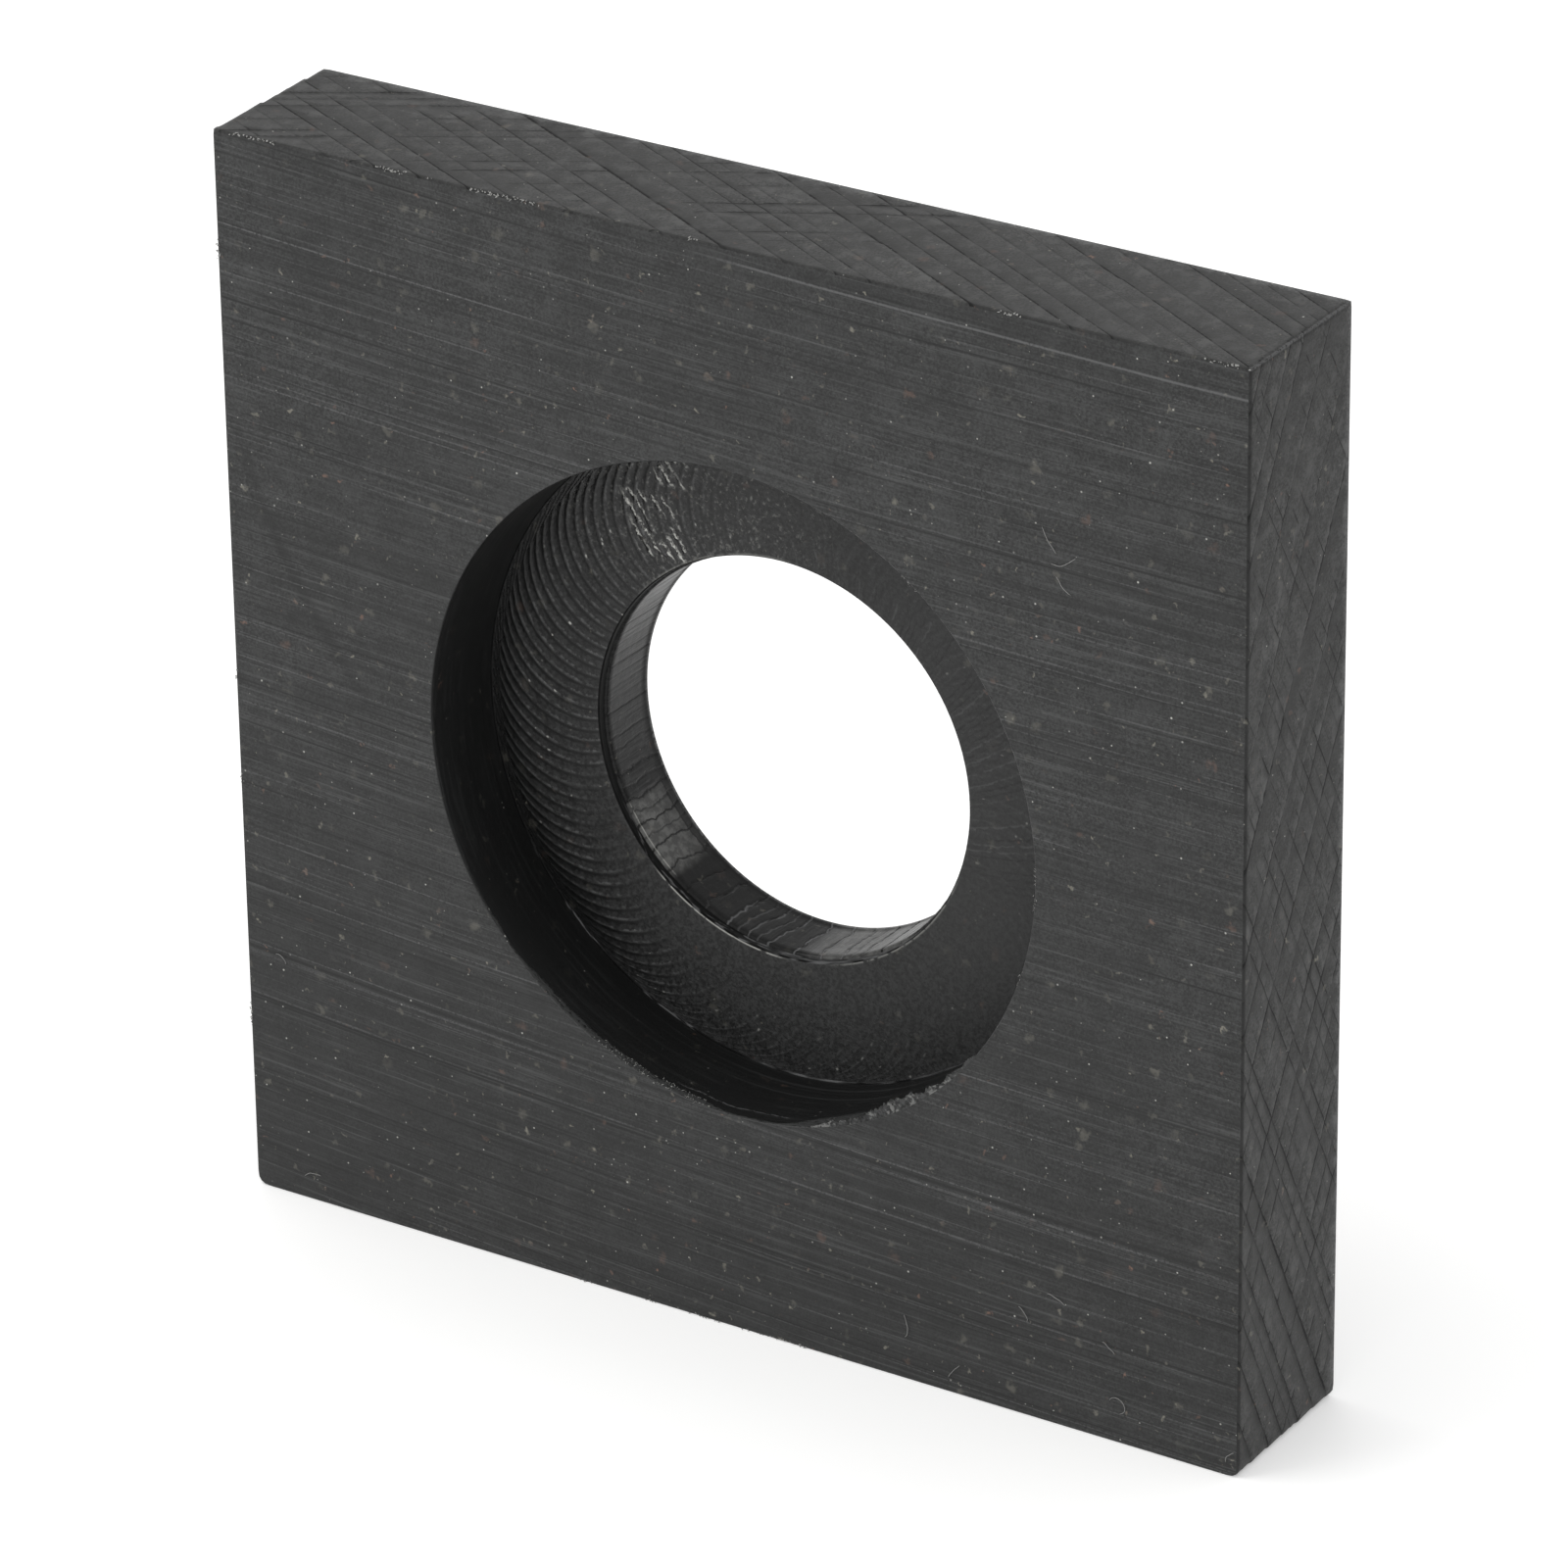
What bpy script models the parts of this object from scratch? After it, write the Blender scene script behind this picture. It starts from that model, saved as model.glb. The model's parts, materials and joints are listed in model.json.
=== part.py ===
"""A square slab of black rubber with a counterbored round window, machined from one piece.

Run it with blender --background --python part.py, or from the text editor. Lengths are in metres.
The slab stands on its lower edge with its middle over the world's origin: X runs across its face,
Y from the counterbored front to the plain back, and Z up.
"""

import math

import bmesh
import bpy
from mathutils import Matrix, Vector

# The plate
WIDTH = 0.0762
HEIGHT = 0.0764
THICKNESS = 0.0124
LOWER_CORNER_RADIUS = 0.00075
EDGE_ROUNDING = 0.00015

# The counterbore, cut from the front
COUNTERBORE_RADIUS = 0.02280
COUNTERBORE_DEPTH = 0.0069
COUNTERBORE_FILLET = 0.00025
COUNTERBORE_OFF_CENTRE = Vector((0.0003, 0.0, 0.0003))

# The bore, with a short smooth step under the counterbore's floor and a thin lip left at the back
STEP_RADIUS = 0.01408
STEP_DEPTH = 0.0007
BORE_RADIUS = 0.01390
LIP_RADIUS = 0.01385
LIP_THICKNESS = 0.0004

# How finely the round shapes are made
TURNED_STEPS = 96
FILLET_STEPS = 4
CORNER_SEGMENTS = 3
OVERSHOOT = 0.003

RUBBER_COLOUR = (0.052, 0.053, 0.053, 1.0)
RUBBER_ROUGHNESS = 0.55

FRONT_Y = -THICKNESS / 2.0
CENTRE = Vector((0.0, 0.0, HEIGHT / 2.0))


def clear_scene():
    """Removes whatever objects the scene holds."""
    for obj in list(bpy.data.objects):
        bpy.data.objects.remove(obj, do_unlink=True)


def new_collection(name):
    """Returns a new collection under the scene's own."""
    collection = bpy.data.collections.new(name)
    bpy.context.scene.collection.children.link(collection)
    return collection


def rubber():
    """Returns the plate's material."""
    material = bpy.data.materials.new("black_rubber")
    material.use_nodes = True
    shader = material.node_tree.nodes["Principled BSDF"]
    shader.inputs["Base Color"].default_value = RUBBER_COLOUR
    shader.inputs["Roughness"].default_value = RUBBER_ROUGHNESS
    shader.inputs["Metallic"].default_value = 0.0
    return material


def add_plate(collection):
    """Adds the plain square plate, with its two lower corners rounded and its other edges just broken."""
    mesh = bpy.data.meshes.new("slab")
    shape = bmesh.new()
    bmesh.ops.create_cube(shape, size=1.0, matrix=Matrix.Diagonal((WIDTH, THICKNESS, HEIGHT, 1.0)))
    weights = shape.edges.layers.float.new("bevel_weight_edge")
    for edge in shape.edges:
        start, end = (vertex.co for vertex in edge.verts)
        runs_front_to_back = abs(start.y - end.y) > THICKNESS / 2.0
        is_low = start.z < 0.0 and end.z < 0.0
        radius = LOWER_CORNER_RADIUS if runs_front_to_back and is_low else EDGE_ROUNDING
        edge[weights] = radius / LOWER_CORNER_RADIUS
    shape.to_mesh(mesh)
    shape.free()

    plate = bpy.data.objects.new("slab", mesh)
    plate.location = CENTRE
    collection.objects.link(plate)
    mesh.materials.append(rubber())

    rounding = plate.modifiers.new("broken_edges", "BEVEL")
    rounding.limit_method = "WEIGHT"
    rounding.width = LOWER_CORNER_RADIUS
    rounding.segments = CORNER_SEGMENTS
    return plate


def counterbore_profile():
    """Returns the counterbore's half section as (radius, depth below the front face), from the axis out."""
    wall_end = COUNTERBORE_DEPTH - COUNTERBORE_FILLET
    fillet_centre_radius = COUNTERBORE_RADIUS - COUNTERBORE_FILLET
    points = [(0.0, -OVERSHOOT), (COUNTERBORE_RADIUS, -OVERSHOOT)]
    for step in range(FILLET_STEPS + 1):
        angle = math.radians(90.0) * step / FILLET_STEPS
        radius = fillet_centre_radius + COUNTERBORE_FILLET * math.cos(angle)
        depth = wall_end + COUNTERBORE_FILLET * math.sin(angle)
        points.append((radius, depth))
    points.append((0.0, COUNTERBORE_DEPTH))
    return points


def bore_profile():
    """Returns the bore's half section as (radius, depth below the front face), from the axis out."""
    step_end = COUNTERBORE_DEPTH + STEP_DEPTH
    lip_start = THICKNESS - LIP_THICKNESS
    return [
        (0.0, COUNTERBORE_DEPTH - OVERSHOOT),
        (STEP_RADIUS, COUNTERBORE_DEPTH - OVERSHOOT),
        (STEP_RADIUS, step_end),
        (BORE_RADIUS, step_end),
        (BORE_RADIUS, lip_start),
        (LIP_RADIUS, lip_start),
        (LIP_RADIUS, THICKNESS + OVERSHOOT),
        (0.0, THICKNESS + OVERSHOOT),
    ]


def add_turned_cutter(name, profile, off_centre, collection):
    """Adds a cutter turned from a half section, its axis running into the plate from the front."""
    mesh = bpy.data.meshes.new(name)
    points = [(radius, 0.0, -depth) for radius, depth in profile]
    edges = [(i, i + 1) for i in range(len(points) - 1)]
    mesh.from_pydata(points, edges, [])

    cutter = bpy.data.objects.new(name, mesh)
    cutter.location = Vector((0.0, FRONT_Y, HEIGHT / 2.0)) + off_centre
    cutter.rotation_euler = (math.radians(90.0), 0.0, 0.0)
    cutter.hide_render = True
    cutter.display_type = "WIRE"
    collection.objects.link(cutter)

    turning = cutter.modifiers.new("turning", "SCREW")
    turning.axis = "Z"
    turning.steps = TURNED_STEPS
    turning.render_steps = TURNED_STEPS
    turning.use_merge_vertices = True
    turning.merge_threshold = 0.00001
    return cutter


def cut(plate, cutter):
    """Cuts a cutter's shape out of the plate."""
    boolean = plate.modifiers.new(cutter.name, "BOOLEAN")
    boolean.operation = "DIFFERENCE"
    boolean.solver = "EXACT"
    boolean.object = cutter


def main():
    clear_scene()
    parts = new_collection("counterbored_slab")
    cutters = new_collection("cutters")
    plate = add_plate(parts)
    counterbore = add_turned_cutter(
        "counterbore_cutter", counterbore_profile(), COUNTERBORE_OFF_CENTRE, cutters
    )
    bore = add_turned_cutter("bore_cutter", bore_profile(), Vector(), cutters)
    cut(plate, counterbore)
    cut(plate, bore)


main()
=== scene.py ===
"""The look of a machined rubber slab with a counterbored round window, standing on a pale floor.

The file is laid out as an add-on and is run as a script. The slab is one closed mesh of nested loops, a
Geometry Nodes tree cuts the saw marks, milling ridges, chatter and burrs into it, and each kind of cut
has a finish of its own. Lengths are in metres in the frame of the CAD model: X runs across the face, Y
from the counterbored front to the plain back, and Z up.
"""

import json
import math
import random

import bpy
import numpy as np
from bpy.props import FloatProperty, FloatVectorProperty, IntProperty, PointerProperty
from mathutils import Matrix, Vector


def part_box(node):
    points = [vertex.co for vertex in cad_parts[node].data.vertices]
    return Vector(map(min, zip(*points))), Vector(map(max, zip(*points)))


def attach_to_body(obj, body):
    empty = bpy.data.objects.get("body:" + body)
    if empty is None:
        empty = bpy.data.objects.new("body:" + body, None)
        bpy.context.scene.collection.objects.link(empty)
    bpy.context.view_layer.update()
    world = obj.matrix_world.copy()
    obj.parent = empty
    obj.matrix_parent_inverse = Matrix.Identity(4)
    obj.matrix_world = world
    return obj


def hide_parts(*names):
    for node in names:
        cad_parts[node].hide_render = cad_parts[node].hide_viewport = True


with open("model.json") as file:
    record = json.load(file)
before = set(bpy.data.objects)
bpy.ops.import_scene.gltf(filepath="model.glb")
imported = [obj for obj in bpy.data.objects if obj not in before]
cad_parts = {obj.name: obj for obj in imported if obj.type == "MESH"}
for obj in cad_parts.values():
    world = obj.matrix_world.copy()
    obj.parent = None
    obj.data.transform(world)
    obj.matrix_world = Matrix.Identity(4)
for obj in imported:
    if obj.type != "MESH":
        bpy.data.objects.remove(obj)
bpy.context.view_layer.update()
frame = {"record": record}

bl_info = {
    "name": "Machined rubber slab",
    "version": (1, 0, 0),
    "blender": (4, 5, 0),
    "location": "3D View > Sidebar > Slab",
    "description": "Builds a counterbored rubber slab with its tool marks, burrs and embedded fibres",
    "category": "Object",
}

MM = 0.001
SLAB_LOW, SLAB_HIGH = (Vector(corner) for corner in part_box("slab"))
SLAB_SIZE = SLAB_HIGH - SLAB_LOW
SLAB_MIDDLE = (SLAB_HIGH + SLAB_LOW) / 2.0
MOUNTS = {mount["name"]: mount for mount in frame["record"]["mounts"]}
FLOOR_Y = MOUNTS["counterbore_floor"]["pos_m"][1]

# How finely the slab's loops are made. A quarter of LOOP_POINTS is one side of the square.
LOOP_POINTS = 672
SIDE_ROWS = 45
FACE_RINGS = 16
BACK_RINGS = 7
FLOOR_RINGS = 14
BORE_ROWS = 10
ROUNDING_STEPS = 3

# The regions of the mesh, each with a finish of its own
SANDED, SAWN, TURNED, MILLED, TORN, PARED = range(6)


def length(name, description, default_mm):
    """Returns a length property whose default is given in millimetres."""
    return FloatProperty(
        name=name, description=description, default=default_mm * MM, min=0.0, unit="LENGTH", precision=5
    )


def colour(name, description, default):
    """Returns a colour property."""
    return FloatVectorProperty(
        name=name, description=description, default=default, size=3, min=0.0, max=1.0, subtype="COLOR"
    )


def brightness(name, description, default):
    """Returns a property for how bright a light is."""
    return FloatProperty(name=name, description=description, default=default, min=0.0)


def bearing(name, description, default_degrees):
    """Returns an angle property whose default is given in degrees."""
    return FloatProperty(
        name=name, description=description, default=math.radians(default_degrees), subtype="ANGLE"
    )


class SlabShape(bpy.types.PropertyGroup):
    """The slab's sizes. Its outer box and the depth of the counterbore's floor come from the frame."""

    corner_radius: length("Lower corner radius", "Rounding of the two lower corners", 0.75)
    edge_radius: length("Edge rounding", "Rounding of every other edge", 0.15)
    counterbore_radius: length("Counterbore radius", "Radius of the counterbore's wall", 22.8)
    counterbore_shift: length("Counterbore shift", "Its centre's distance right of and above the bore's", 0.3)
    counterbore_fillet: length("Counterbore fillet", "Radius between its wall and its floor", 0.14)
    step_radius: length("Step radius", "Radius of the smooth step under the floor", 14.08)
    step_depth: length("Step depth", "Depth of the smooth step", 0.7)
    bore_radius: length("Bore radius", "Radius of the bore", 13.9)
    lip_radius: length("Lip radius", "Radius inside the lip at the bore's back edge", 13.85)
    lip_thickness: length("Lip thickness", "Thickness of the lip at the bore's back edge", 0.36)


class ToolMarks(bpy.types.PropertyGroup):
    """What the saw, the end mill and the boring cut left in the surface."""

    saw_depth: length("Saw mark depth", "Height of the steps on the sawn edges", 0.12)
    cutter_radius: length("Cutter radius", "Radius of the end mill that cut the counterbore", 6.1)
    ridge_count: IntProperty(name="Ridges", description="Milling ridges around the floor", default=120)
    ridge_height: length("Ridge height", "Height of the milling ridges", 0.07)
    chatter_count: IntProperty(name="Chatter lines", description="Torn lines around the bore", default=100)
    chatter_depth: length("Chatter depth", "Depth of the torn lines in the bore", 0.08)
    burr_height: length("Burr height", "Height of the burrs along the round edges", 0.12)
    seed: IntProperty(name="Seed", description="Seed of everything irregular", default=7)


class Finish(bpy.types.PropertyGroup):
    """The rubber's colours."""

    sanded: colour("Sanded face", "Rubber greyed by sanding", (0.0268, 0.0274, 0.0273))
    sawn: colour("Sawn edge", "Rubber greyed by the saw", (0.0295, 0.0297, 0.0292))
    milled: colour("Milled floor", "Rubber cut by the end mill", (0.013, 0.0132, 0.0132))
    # Also laid over other finishes as painted shade.
    smooth: colour("Smooth cut", "Rubber left shiny and black by a sharp tool", (0.0065, 0.0067, 0.0067))
    # Also the colour of painted highlights on crests, edges and raised lines.
    scratch: colour("Scratch", "Fine light scratches", (0.115, 0.116, 0.118))
    fleck_pale: colour("Pale fleck", "Embedded pale grains", (0.20, 0.19, 0.158))
    fleck_red: colour("Red fleck", "Embedded reddish grains", (0.17, 0.10, 0.075))
    # Also the colour of the painted glints on the counterbore's floor and at the bore's front edge.
    speck: colour("Speck", "The smallest and lightest grains", (0.48, 0.48, 0.45))
    fibre: colour("Fibre", "Stray textile fibres", (0.20, 0.20, 0.195))
    # Also the colour of the painted highlights on the bore's wall.
    chip: colour("Chip", "Torn flakes and chipped edges", (0.27, 0.27, 0.26))


class Studio(bpy.types.PropertyGroup):
    """The floor, the light and the camera."""

    sky_light: brightness("Sky light", "Brightness of the light all round", 0.75)
    key_light: brightness("Key light", "Brightness of the lamp panel overhead", 1.25)
    key_tint: colour("Key light tint", "Colour of the lamp panel overhead", (1.0, 0.995, 0.94))
    side_light: brightness("Side light", "Brightness of the panel at the left", 2.4)
    back_light: brightness("Back light", "Brightness of the panel behind", 0.8)
    spark_light: brightness("Small lamp", "Brightness of the small lamp by the camera", 24.0)
    camera_azimuth: bearing("Camera azimuth", "How far round to the right the camera stands", 32.8)
    camera_elevation: bearing("Camera elevation", "How high the camera looks from", 25.85)
    camera_roll: bearing("Camera roll", "How far the camera leans clockwise", 0.79)
    camera_distance: length("Camera distance", "From the middle of the slab", 565.0)
    camera_lens: FloatProperty(name="Lens", description="Focal length in millimetres", default=202.4)


class Settings(bpy.types.PropertyGroup):
    """Everything that a user may change."""

    shape: PointerProperty(type=SlabShape)
    marks: PointerProperty(type=ToolMarks)
    finish: PointerProperty(type=Finish)
    studio: PointerProperty(type=Studio)


# Node trees


class Value:
    """A number socket. Python sums and products of it add the Math nodes that work them out."""

    def __init__(self, nodes, socket):
        self.nodes = nodes
        self.socket = socket

    def __add__(self, other):
        return self.nodes.math("ADD", self, other)

    def __radd__(self, other):
        return self.nodes.math("ADD", other, self)

    def __sub__(self, other):
        return self.nodes.math("SUBTRACT", self, other)

    def __rsub__(self, other):
        return self.nodes.math("SUBTRACT", other, self)

    def __mul__(self, other):
        return self.nodes.math("MULTIPLY", self, other)

    def __rmul__(self, other):
        return self.nodes.math("MULTIPLY", other, self)

    def __truediv__(self, other):
        return self.nodes.math("DIVIDE", self, other)

    def __abs__(self):
        return self.nodes.math("ABSOLUTE", self)

    def __neg__(self):
        return self.nodes.math("MULTIPLY", self, -1.0)

    def __lt__(self, other):
        return self.nodes.math("LESS_THAN", self, other)

    def __gt__(self, other):
        return self.nodes.math("GREATER_THAN", self, other)


class Nodes:
    """Adds nodes to one shader or geometry tree."""

    def __init__(self, tree):
        self.tree = tree
        self.tree.nodes.clear()

    def node(self, kind, settings=None, inputs=None):
        """Adds a node. Its settings are set first, then its inputs, each from a value or a link."""
        made = self.tree.nodes.new(kind)
        for name, setting in (settings or {}).items():
            setattr(made, name, setting)
        for name, value in (inputs or {}).items():
            self.feed(made.inputs[name], value)
        return made

    def feed(self, socket, value):
        """Links or sets one input."""
        if isinstance(value, Value):
            value = value.socket
        if isinstance(value, bpy.types.NodeSocket):
            self.tree.links.new(value, socket)
        else:
            socket.default_value = value

    def value(self, made, output=0):
        """Returns a node's output as a number that takes part in sums."""
        return Value(self, made.outputs[output])

    def math(self, operation, *terms):
        """Returns the result of a Math node."""
        return self.value(self.node("ShaderNodeMath", {"operation": operation}, dict(enumerate(terms))))

    def smooth(self, value, low, high):
        """Rises smoothly from 0 at low to 1 at high, or falls if high is the lower."""
        limits = {"Value": value, "From Min": low, "From Max": high}
        return self.value(self.node("ShaderNodeMapRange", {"interpolation_type": "SMOOTHSTEP"}, limits))

    def split(self, vector):
        """Returns a vector's three numbers."""
        made = self.node("ShaderNodeSeparateXYZ", inputs={0: vector})
        return tuple(self.value(made, axis) for axis in range(3))

    def vector(self, x, y, z):
        """Joins three numbers into a vector."""
        return self.node("ShaderNodeCombineXYZ", inputs={0: x, 1: y, 2: z}).outputs[0]

    def vector_math(self, operation, first, second):
        """Returns a vector worked out from two others, or from one and the number that scales it."""
        inputs = {0: first, ("Scale" if operation == "SCALE" else 1): second}
        return self.node("ShaderNodeVectorMath", {"operation": operation}, inputs).outputs[0]

    def noise(self, vector, scale, detail=2.0, roughness=0.5):
        """Returns soft noise, mostly between 0.3 and 0.7."""
        inputs = {"Vector": vector, "Scale": scale, "Detail": detail, "Roughness": roughness}
        return self.value(self.node("ShaderNodeTexNoise", inputs=inputs))

    def wander(self, value, scale):
        """Returns soft noise along one number, from about -1 to 1."""
        inputs = {"W": value, "Scale": scale, "Detail": 1.0}
        made = self.node("ShaderNodeTexNoise", {"noise_dimensions": "1D"}, inputs)
        return (self.value(made) - 0.5) * 3.0

    def chance(self, whole_number):
        """Returns a random number between 0 and 1 for each whole number."""
        made = self.node("ShaderNodeTexWhiteNoise", {"noise_dimensions": "1D"}, {"W": whole_number})
        return self.value(made)

    def mix(self, factor, first, second):
        """Mixes two colours."""
        made = self.node("ShaderNodeMix", {"data_type": "RGBA"})
        self.feed(made.inputs["Factor"], factor)
        for socket, tint in zip((made.inputs[6], made.inputs[7]), (first, second)):
            self.feed(socket, tint if isinstance(tint, bpy.types.NodeSocket) else (*tint, 1.0))
        return made.outputs[2]


# Patterns, shared by the geometry and the finishes


def polar(nodes, x, z, centre_x, centre_z):
    """Returns the radius and the angle round a centre, counterclockwise from the right."""
    across = x - centre_x
    up = z - centre_z
    radius = nodes.math("SQRT", across * across + up * up)
    return radius, nodes.math("ARCTAN2", up, across)


def toward(nodes, angle, degrees, narrow, wide):
    """Returns 1 within narrow degrees of a direction, falling to 0 at wide degrees."""
    nearness = nodes.math("COSINE", angle - math.radians(degrees))
    return nodes.smooth(nearness, math.cos(math.radians(wide)), math.cos(math.radians(narrow)))


def saw_strips(nodes, distance, spacing, line_width, seed):
    """Returns the height of the strips that a saw left, 0 to 1, and the dark line of painted shade where one
    steps down.
    """
    place = distance / spacing + nodes.wander(distance + seed, 190.0) * 0.5
    strip = nodes.math("FLOOR", place)
    ramp = place - strip
    this_drop = nodes.chance(strip + seed)
    last_drop = nodes.chance(strip + (seed - 1.0))
    step = 0.5 + 0.5 * (last_drop - this_drop)
    core = nodes.smooth(ramp * spacing, line_width, line_width * 0.2)
    # A softer painted shadow lies across the low end of the strip beside the step.
    shade = nodes.smooth(ramp, 0.5, 0.0) * 0.2
    line = nodes.math("MAXIMUM", core, shade) * nodes.smooth(step, 0.15, 0.6)
    return ramp * 0.5 + this_drop * 0.5, line


def crossed_saw_cuts(nodes, x, y, z, seed):
    """Returns the height and the dark lines, painted shade at the steps, of two saw passes that crossed on
    the slab's edges.

    The deeper cut of the two is what stays, which leaves scales where they are about level.
    """
    half_width = SLAB_SIZE.x / 2.0
    on_upright_edge = abs(x) > half_width - 0.3 * MM
    along = on_upright_edge * (SLAB_MIDDLE.z - z) + (1.0 - on_upright_edge) * x
    across = nodes.math("SIGN", x) * on_upright_edge
    side = across + nodes.math("SIGN", z - SLAB_MIDDLE.z) * (1.0 - on_upright_edge) * 2.0
    side_seed = nodes.math("ROUND", side) * 13.0 + float(seed)
    lean = math.radians(28.5)
    bow = along * along * 0.6
    falling = along * math.sin(lean) + y * math.cos(lean) + bow
    rising = along * math.sin(lean) - y * math.cos(lean) - bow
    spacing = (1.75 - 0.2 * on_upright_edge) * MM
    first, first_step_shade = saw_strips(nodes, falling, spacing, 0.24 * MM, side_seed + 3.0)
    spacing = (1.55 - 0.5 * on_upright_edge) * MM
    second, second_step_shade = saw_strips(nodes, rising, spacing, 0.15 * MM, side_seed + 31.0)
    # The first pass cuts deeper towards the right of the top and the top of the upright edges.
    patchy = nodes.noise(nodes.vector(x, y, z + side_seed), 110.0, 1.0) - 0.5
    scales = nodes.noise(nodes.vector(x, y, z + side_seed), 330.0, 1.0) - 0.5
    upright_lead = (along - 8.0 * MM) * 9.0 + patchy * 0.8 + scales * 0.8
    level_lead = (along + 26.0 * MM) * -9.0 + y * 22.0 + patchy * 1.6
    lead = on_upright_edge * upright_lead + (1.0 - on_upright_edge) * level_lead
    height = nodes.math("MINIMUM", first + lead, second - lead) + abs(lead)
    first_stays = nodes.smooth(second - first - lead * 2.0, -0.45, -0.1)
    second_stays = nodes.smooth(first - second + lead * 2.0, -0.45, -0.1)
    line = nodes.math("MAXIMUM", first_step_shade * first_stays, second_step_shade * second_stays * 0.85)
    return height, line


def cutter_sweep(radius, outer_radius, marks):
    """Returns how far round from its centre the end mill's edge stands at a radius of the floor."""
    cutter = marks.cutter_radius
    orbit = outer_radius - cutter
    cosine = (radius * radius + orbit * orbit - cutter * cutter) / (2.0 * radius * orbit)
    return math.acos(min(1.0, cosine))


def milling_ridges(nodes, radius, angle, marks, outer_radius):
    """Returns the height of the end mill's arcs on the floor, 0 to 1, and the place across each."""
    cutter = marks.cutter_radius
    orbit = outer_radius - cutter
    cosine = (radius * radius + (orbit * orbit - cutter * cutter)) / (radius * (2.0 * orbit))
    swept = nodes.math("ARCCOSINE", nodes.math("MINIMUM", cosine, 1.0))
    place = (angle - swept) * (marks.ridge_count / math.tau)
    ridge = nodes.math("FLOOR", place)
    across = abs((place - ridge) * 2.0 - 1.0)
    uneven = 0.55 + 0.45 * nodes.chance(ridge + float(marks.seed))
    return across * across * uneven, place - ridge


def ridge_strength(nodes, angle):
    """Returns how strongly the ridges stand out round the floor: most at the left, least at lower right."""
    left = toward(nodes, angle, 172.0, 44.0, 84.0)
    right = toward(nodes, angle, 32.0, 35.0, 62.0) * 0.14
    return left + right + 0.06


def chatter_lines(nodes, angle, y, marks):
    """Returns how deep the torn lines along the bore are, 0 to 1."""
    waver = nodes.noise(nodes.vector(angle * 2.2, y * 260.0, float(marks.seed)), 1.0, 2.0)
    rough = 0.25 + 0.75 * toward(nodes, angle, 262.0, 45.0, 85.0)
    jagged = nodes.noise(nodes.vector(angle * 9.0, y * 1300.0, float(marks.seed)), 1.0, 2.0)
    place = angle * (marks.chatter_count / math.tau) + ((waver - 0.5) * 1.8 + (jagged - 0.5) * 0.7) * rough
    line = nodes.math("FLOOR", place)
    nearness = 1.0 - abs((place - line) * 2.0 - 1.0)
    chance = nodes.chance(line + float(marks.seed + 5))
    # Low down every other line is left out, and the lines between are of uneven strength.
    sparse = toward(nodes, angle, 252.0, 50.0, 60.0)
    alternate = nodes.math("FLOORED_MODULO", line, 2.0) * 0.5 + chance * 0.5
    depth = 0.15 + 0.55 * chance * chance
    depth = depth + (nodes.smooth(alternate, 0.25, 0.6) - depth) * sparse
    return nodes.smooth(nearness, 0.7, 0.96) * depth


def sanding_height(x, z):
    """Returns the height that stays the same along one sanding line: the lines fall to the right and bow."""
    return z + x * 0.049 - (x * x) * 0.385


def scratches(nodes, height, along, spacing, width, seed):
    """Returns parallel scratches, one in each strip, each of its own strength and fading along its length."""
    place = height / spacing
    strip = nodes.math("FLOOR", place)
    centre = 0.25 + 0.5 * nodes.chance(strip + seed)
    off_line = abs(place - strip - centre) * spacing
    strength = nodes.chance(strip + (seed + 0.37))
    fade = nodes.noise(nodes.vector(along * 26.0, strip * 7.3, seed), 1.0, 2.0)
    return nodes.smooth(off_line, width, width * 0.15) * strength * strength * nodes.smooth(fade, 0.40, 0.58)


def deep_grooves(nodes, x, height, grooves):
    """Returns the sum of single grooves, each given by its height and the stretch of the face it crosses."""
    total = 0.0
    for level, start, end, width in grooves:
        ends = nodes.smooth(x, (start - 3.0) * MM, (start + 3.0) * MM)
        ends = ends * nodes.smooth(x, (end + 3.0) * MM, (end - 3.0) * MM)
        off_line = abs(height - level * MM)
        total = total + nodes.smooth(off_line, width * MM, width * MM * 0.25) * ends
    return total


# Millimetres above the lower edge, where it starts and ends across the face, and half its width
PALE_GROOVES = (
    (64.3, -40.0, -4.0, 0.08),
    (58.6, -40.0, 2.0, 0.10),
    (54.7, 8.0, 40.0, 0.09),
    (49.9, 14.0, 40.0, 0.09),
    (43.7, -40.0, -24.0, 0.08),
    (33.8, -40.0, -20.0, 0.10),
    (33.0, 22.0, 40.0, 0.10),
    (20.4, -40.0, -10.0, 0.09),
    (20.2, 4.0, 40.0, 0.09),
    (15.35, -40.0, 40.0, 0.14),
    (12.3, -40.0, 40.0, 0.10),
)
DARK_GROOVES = (
    (40.2, -40.0, -23.0, 0.12),
    (26.2, -40.0, -16.0, 0.16),
    (25.2, 16.0, 40.0, 0.14),
    (15.75, -40.0, 40.0, 0.20),
    (11.9, -40.0, 40.0, 0.14),
    (6.3, -30.0, 30.0, 0.12),
)


# Finishes

GRIT_SCALE = 5600.0
MOTTLE_SCALE = 900.0
# Cells per metre, the share of cells that hold a grain, its smallest and largest radius in cells, and how
# strongly it shows
GRAIN_LAYERS = (
    (560.0, 0.75, 0.14, 0.32, 0.32),
    (760.0, 0.42, 0.09, 0.22, 0.8),
    (1300.0, 0.55, 0.09, 0.22, 0.65),
)
SPECK_LAYER = (1250.0, 0.5, 0.06, 0.13)


def start_material(name):
    """Returns a new material, its nodes and its object coordinates."""
    material = bpy.data.materials.new(name)
    material.use_nodes = True
    nodes = Nodes(material.node_tree)
    coordinates = nodes.node("ShaderNodeTexCoord").outputs["Object"]
    return material, nodes, coordinates


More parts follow.
